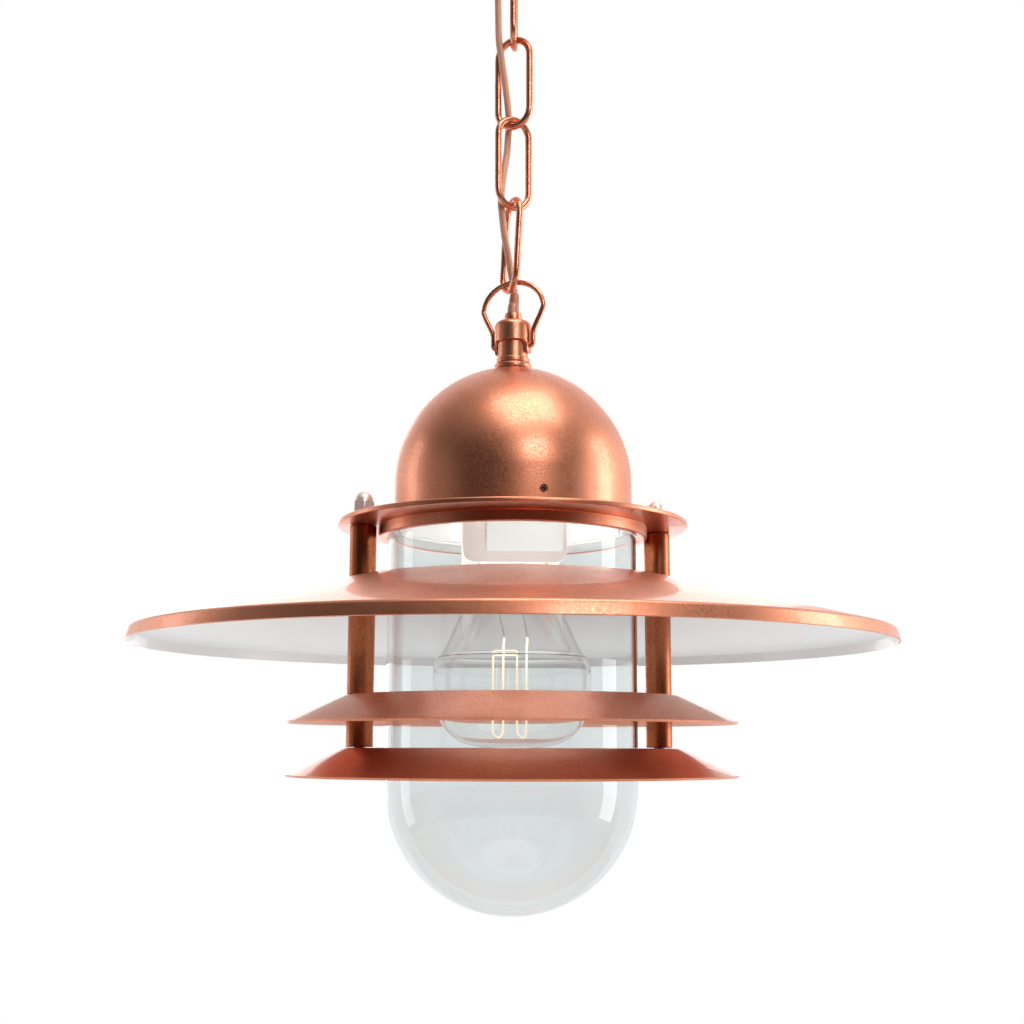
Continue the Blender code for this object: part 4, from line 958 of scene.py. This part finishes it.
gasket = spun(
    "gasket_ring",
    eased(
        [
            (jar_inner, gasket_high.z, 0),
            (jar_radius, gasket_high.z, 0.0003),
            (jar_radius, gasket_low.z, 0.0003),
            (jar_inner, gasket_low.z, 0.0003),
            (jar_inner, gasket_high.z, 0),
        ]
    )[:-1],
    "lantern",
    160,
)
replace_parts(wears(gasket, SILICONE), "gasket")

# ------------------------------------------------------------------ shades
# Three rings of spun copper sheet round the glass: a wide cone with a turned-down lip and two narrow louvres
# below it. Each has a flat inner band where the posts pass through, and the wide one is white underneath.
band_inner, band_outer = 0.0700, 0.0875


def shade(name, node, corners, columns, under):
    """A sheet that follows (radius, height, bend) corners from its inner edge to its rim.

    The lower line is the upper one moved by the sheet's thickness along its own normal.
    """
    upper = eased(corners, 6)
    run = np.gradient(upper, axis=0)
    run /= np.linalg.norm(run, axis=1)[:, None]
    lower = upper + np.stack([run[:, 1], -run[:, 0]], 1) * SHEET
    chain = np.concatenate([upper, lower[::-1]])
    slots = [0] * len(upper) + [1] * (len(lower) - 1) + [0]
    piece = spun(name, chain, "lantern", columns, slots=slots)
    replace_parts(wears(piece, SATIN_COPPER, under), node)
    return piece


shade_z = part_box("wide_shade")[1].z
shade(
    "wide_shade_sheet",
    "wide_shade",
    [
        (band_inner, shade_z, 0),
        (band_outer, shade_z, 0.010),
        (0.1983, shade_z - 0.0275, 0.0022),
        (0.2000, shade_z - 0.0337, 0),
    ],
    288,
    ENAMEL,
)
for name in ("upper_louvre", "lower_louvre"):
    louvre_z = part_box(name)[1].z
    shade(
        name + "_sheet",
        name,
        [
            (band_inner, louvre_z, 0),
            (band_outer, louvre_z, 0.006),
            (0.1182, louvre_z - 0.0136, 0),
        ],
        240,
        SATIN_COPPER,
    )

# ------------------------------------------------------------------ posts
# Each post is a steel rod with three copper sleeves between the sheets. A polished cap nut closes it above
# the top plate, and a plain hexagon nut draws it up below the lowest louvre.
POLISHED = finish_of(
    "polished copper", (0.93, 0.74, 0.66), (0.97, 0.84, 0.78), (0.24, 0.38), metallic=0.45, speckle=800.0,
    cloud=200.0, relief=0.00001,
)
# The post sleeves wear a darker copper than the sheets.
DARKER_SLEEVE_COPPER = finish_of(
    "darker sleeve copper", (0.37, 0.105, 0.042), (0.56, 0.185, 0.088), (0.28, 0.42), speckle=950.0, relief=0.00006
)


def hexagon_nut(name, post_x, foot, top, dome_radius=0.0, dome_top=0.0, flange=0.0, flange_height=0.0):
    """A chamfered hexagon nut, which may have a flange below and a dome above.

    The hexagon's radius at angle a is half its width over the cosine of a's distance from the middle of its
    flat. A chamfer cuts it to a cone near its top and foot, and the dome is a quarter of an oval.
    """
    columns = 96
    a = np.linspace(0.0, 2.0 * np.pi, columns, endpoint=False)
    flat = np.mod(a + np.pi / 6.0, np.pi / 3.0) - np.pi / 6.0
    across = 0.0105
    hexagon = across / 2.0 / np.cos(flat)
    corner = across / math.sqrt(3.0)
    hex_foot = foot + flange_height
    chamfer = corner - across / 2.0
    tall = top - hex_foot
    heights = np.concatenate([np.linspace(0.0, chamfer, 5), np.linspace(tall - chamfer, tall, 5)])
    from_end = np.minimum(heights, tall - heights)
    limit = corner - np.maximum(chamfer - from_end, 0.0) * 0.9
    rows = [np.zeros(columns)]
    levels = [foot]
    if flange:
        soft = 0.0003
        for inset, level in ((soft, foot), (0.0, foot + soft), (0.0, hex_foot - soft), (soft, hex_foot)):
            rows.append(np.full(columns, flange - inset))
            levels.append(level)
    for level, cut in zip(heights, limit):
        rows.append(np.minimum(hexagon, cut))
        levels.append(hex_foot + level)
    if dome_radius:
        for radius, level in bent((0.0, top), dome_radius, 0.0, 90.0, 14, (dome_top - top) / dome_radius):
            rows.append(np.full(columns, max(radius, 0.0)))
            levels.append(level)
        rows[-1][:] = 0.0
    else:
        rows.append(np.zeros(columns))
        levels.append(top)
    radius, level = np.stack(rows), np.array(levels)[:, None]
    points = np.stack([post_x + radius * np.cos(a), radius * np.sin(a), np.repeat(level, columns, 1)], -1)
    return surface(name, points, "lantern")


for side in ("left", "right"):
    for part in (1, 2, 3):
        sleeve_low, sleeve_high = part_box(f"post_sleeve_{side}_{part}")
        post_x = (sleeve_low.x + sleeve_high.x) / 2
        turned(
            f"post_tube_{side}_{part}", f"post_sleeve_{side}_{part}", DARKER_SLEEVE_COPPER,
            [
                (0.0033, sleeve_high.z, 0),
                (0.0070, sleeve_high.z, 0.0005),
                (0.0070, sleeve_low.z, 0.0005),
                (0.0033, sleeve_low.z, 0),
            ],
            72, at=(post_x, 0.0),
        )
    cap_low, cap_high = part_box(f"acorn_nut_{side}")
    hexagon_top = cap_low.z + 0.0102
    acorn = hexagon_nut(f"cap_nut_{side}", post_x, cap_low.z, hexagon_top, 0.0051, cap_high.z, 0.0064, 0.0014)
    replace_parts(wears(acorn, POLISHED), f"acorn_nut_{side}")
    foot_low, foot_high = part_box(f"lower_nut_{side}")
    lower = hexagon_nut(f"foot_nut_{side}", post_x, foot_low.z, foot_high.z)
    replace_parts(wears(lower, ZINC), f"lower_nut_{side}")
    wears(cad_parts[f"threaded_rod_{side}"], ZINC)

# ------------------------------------------------------------------ lamp
# A steel strap hangs from the neck tube inside the dome and carries a porcelain holder. Its front leg bears
# a blank white rating plate. The bulb is clear, with a brass cap and a long looped filament.
# The strap's steel is pale, and its pink tint is a painted reflection of the copper round it.
STRAP_STEEL_WITH_PAINTED_REFLECTION = finish_of(
    "pale pressed steel with painted copper reflection", (0.80, 0.68, 0.63), (0.92, 0.82, 0.78), (0.30, 0.45), metallic=0.35, cloud=60.0
)
BLANK_WHITE = finish_of(
    "blank white plate", (0.86, 0.86, 0.85), (0.91, 0.91, 0.90), (0.3, 0.4), metallic=0.0, relief=0.00001
)
BRASS = finish_of("brass", (0.62, 0.43, 0.16), (0.82, 0.62, 0.30), (0.22, 0.38), cloud=180.0)
wears(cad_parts["lamp_bracket"], STRAP_STEEL_WITH_PAINTED_REFLECTION)
wears(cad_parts["rating_plate"], BLANK_WHITE)
for nut in ("crown_nut", "bracket_nut"):
    wears(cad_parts[nut], ZINC)
for brass in ("screw_shell", "centre_contact", "bulb_cap", "bulb_tip"):
    wears(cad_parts[brass], BRASS)
wears(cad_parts["lamp_holder"], GLAZED)

BULB_GLASS = clear_glass("blown bulb glass", (0.985, 0.985, 0.98), 35.0, (0.0, 0.02))
bulb_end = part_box("bulb_glass")[0].z
cap_edge = bulb_end + 0.1218
bulb_wide = bulb_end + 0.0370
bulb_top = cap_edge + 0.0050
bulb_neck = 0.0121
bulb_outside = fair(
    [
        (bulb_neck, bulb_top),
        (bulb_neck, cap_edge + 0.0005),
        (0.0134, cap_edge - 0.0060),
        (0.0170, cap_edge - 0.0170),
        (0.0203, cap_edge - 0.0290),
        (0.0245, cap_edge - 0.0440),
        (0.0362, cap_edge - 0.0700),
        (0.0404, bulb_wide + 0.0095),
        (0.0420, bulb_wide),
        (0.0411, bulb_wide - 0.0130),
        (0.0386, bulb_wide - 0.0215),
        (0.0337, bulb_wide - 0.0285),
        (0.0257, bulb_wide - 0.0338),
        (0.0142, bulb_wide - 0.0363),
        (0.0, bulb_end),
    ],
    8,
)
bulb_outside[-1] = (0.0, bulb_end)
bulb_outside[:, 0] = np.maximum(bulb_outside[:, 0], 0.0)
bulb_wall = 0.0008
run = np.gradient(bulb_outside, axis=0)
run /= np.linalg.norm(run, axis=1)[:, None]
bulb_inside = bulb_outside + np.stack([run[:, 1], -run[:, 0]], 1) * bulb_wall
bulb_inside[-1] = (0.0, bulb_end + bulb_wall)
bulb_inside[:, 0] = np.maximum(bulb_inside[:, 0], 0.0)
bulb = spun("bulb_envelope", np.concatenate([bulb_outside[::-1], bulb_inside]), "lantern", 128)
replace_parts(wears(bulb, BULB_GLASS), "bulb_glass")

stem_low, stem_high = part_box("bulb_stem")
stem_flare = bulb_neck - bulb_wall - 0.0003
stem_profile = eased(
    [
        (0.0, stem_low.z, 0),
        (0.0029, stem_low.z, 0.0012),
        (0.0042, stem_low.z + 0.0070, 0.004),
        (0.0050, stem_high.z - 0.0130, 0.006),
        (stem_flare, stem_high.z - 0.0015, 0.0005),
        (stem_flare, stem_high.z, 0.0004),
        (0.0, stem_high.z, 0),
    ],
    8,
)
stem = spun("bulb_stem_glass", stem_profile, "lantern", 64)
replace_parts(wears(stem, BULB_GLASS), "bulb_stem")

lead_top = stem_low.z - 0.0003
lead_foot = lead_top - 0.0195
NICKEL = finish_of("nickel wire", (0.60, 0.56, 0.50), (0.78, 0.74, 0.68), (0.2, 0.35), cloud=400.0)
for number, (start, bend, end) in enumerate(
    (
        ((-0.0020, 0.0002), (-0.0067, 0.0011), (-0.0042, 0.0007)),
        ((0.0020, -0.0002), (0.0050, -0.0009), (0.0079, -0.0014)),
    ),
    1,
):
    lead_line = fair(
        [(*start, lead_top), (*start, lead_top - 0.0012), (*bend, lead_top - 0.0065), (*end, lead_foot)], 14
    )
    lead = swept(f"lead_wire_{number}", lead_line, 0.00045, (0.3, 1.0, 0.0), "lantern", sides=12)
    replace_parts(wears(lead, NICKEL), f"filament_lead_{number}")

WARM_TUNGSTEN = bpy.data.materials.new("warm filament")
WARM_TUNGSTEN.use_nodes = True
warm_nodes, warm_links = WARM_TUNGSTEN.node_tree.nodes, WARM_TUNGSTEN.node_tree.links
warm = warm_nodes["Principled BSDF"]
warm.inputs["Roughness"].default_value = 0.45
warm_place = warm_nodes.new("ShaderNodeTexCoord")
warm_turns = warm_nodes.new("ShaderNodeTexNoise")
warm_turns.inputs["Scale"].default_value = 900.0
warm_links.new(warm_place.outputs["Object"], warm_turns.inputs["Vector"])
warm_ramp = warm_nodes.new("ShaderNodeValToRGB")
warm_ramp.color_ramp.elements[0].color = (0.86, 0.62, 0.34, 1.0)
warm_ramp.color_ramp.elements[1].color = (1.0, 0.90, 0.72, 1.0)
warm_links.new(warm_turns.outputs["Fac"], warm_ramp.inputs[0])
warm_links.new(warm_ramp.outputs[0], warm.inputs["Base Color"])
warm_links.new(warm_ramp.outputs[0], warm.inputs["Emission Color"])
warm.inputs["Emission Strength"].default_value = 0.9
filament_top = lead_foot - 0.0010
filament_low = bulb_end + 0.0050
cross_z = filament_top - 0.0080
filament_points = [
    (-0.0042, 0.0007, filament_top),
    (-0.0038, 0.0060, filament_top - 0.0060),
    (-0.0034, 0.0077, filament_low + 0.0030),
    (-0.0066, 0.0036, filament_low),
    (-0.0105, -0.0012, filament_low + 0.0030),
    (-0.0105, -0.0012, cross_z - 0.0010),
    (-0.0095, -0.0022, cross_z),
    (0.0004, -0.0078, cross_z),
    (0.0012, -0.0083, cross_z - 0.0010),
    (0.0012, -0.0083, filament_low + 0.0030),
    (0.0050, -0.0040, filament_low),
    (0.0082, 0.0026, filament_low + 0.0030),
    (0.0082, 0.0020, filament_top - 0.0060),
    (0.0079, -0.0014, filament_top),
]


def crisp(points):
    """A straight-sided line through points, cut into short steps so that its bends stay crisp but round."""
    given = np.asarray(points, float)
    steps = np.linspace(0.0, 1.0, 13)[:-1, None]
    runs = [first + (last - first) * steps for first, last in zip(given, given[1:])]
    line = np.concatenate([*runs, given[-1:]])
    for _ in range(3):
        line[1:-1] = (line[:-2] + 2.0 * line[1:-1] + line[2:]) / 4.0
    return line


filament = swept("filament_wire", crisp(filament_points), 0.0005, (0.49, 0.87, 0.12), "lantern", sides=10)
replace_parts(wears(filament, WARM_TUNGSTEN), "filament")
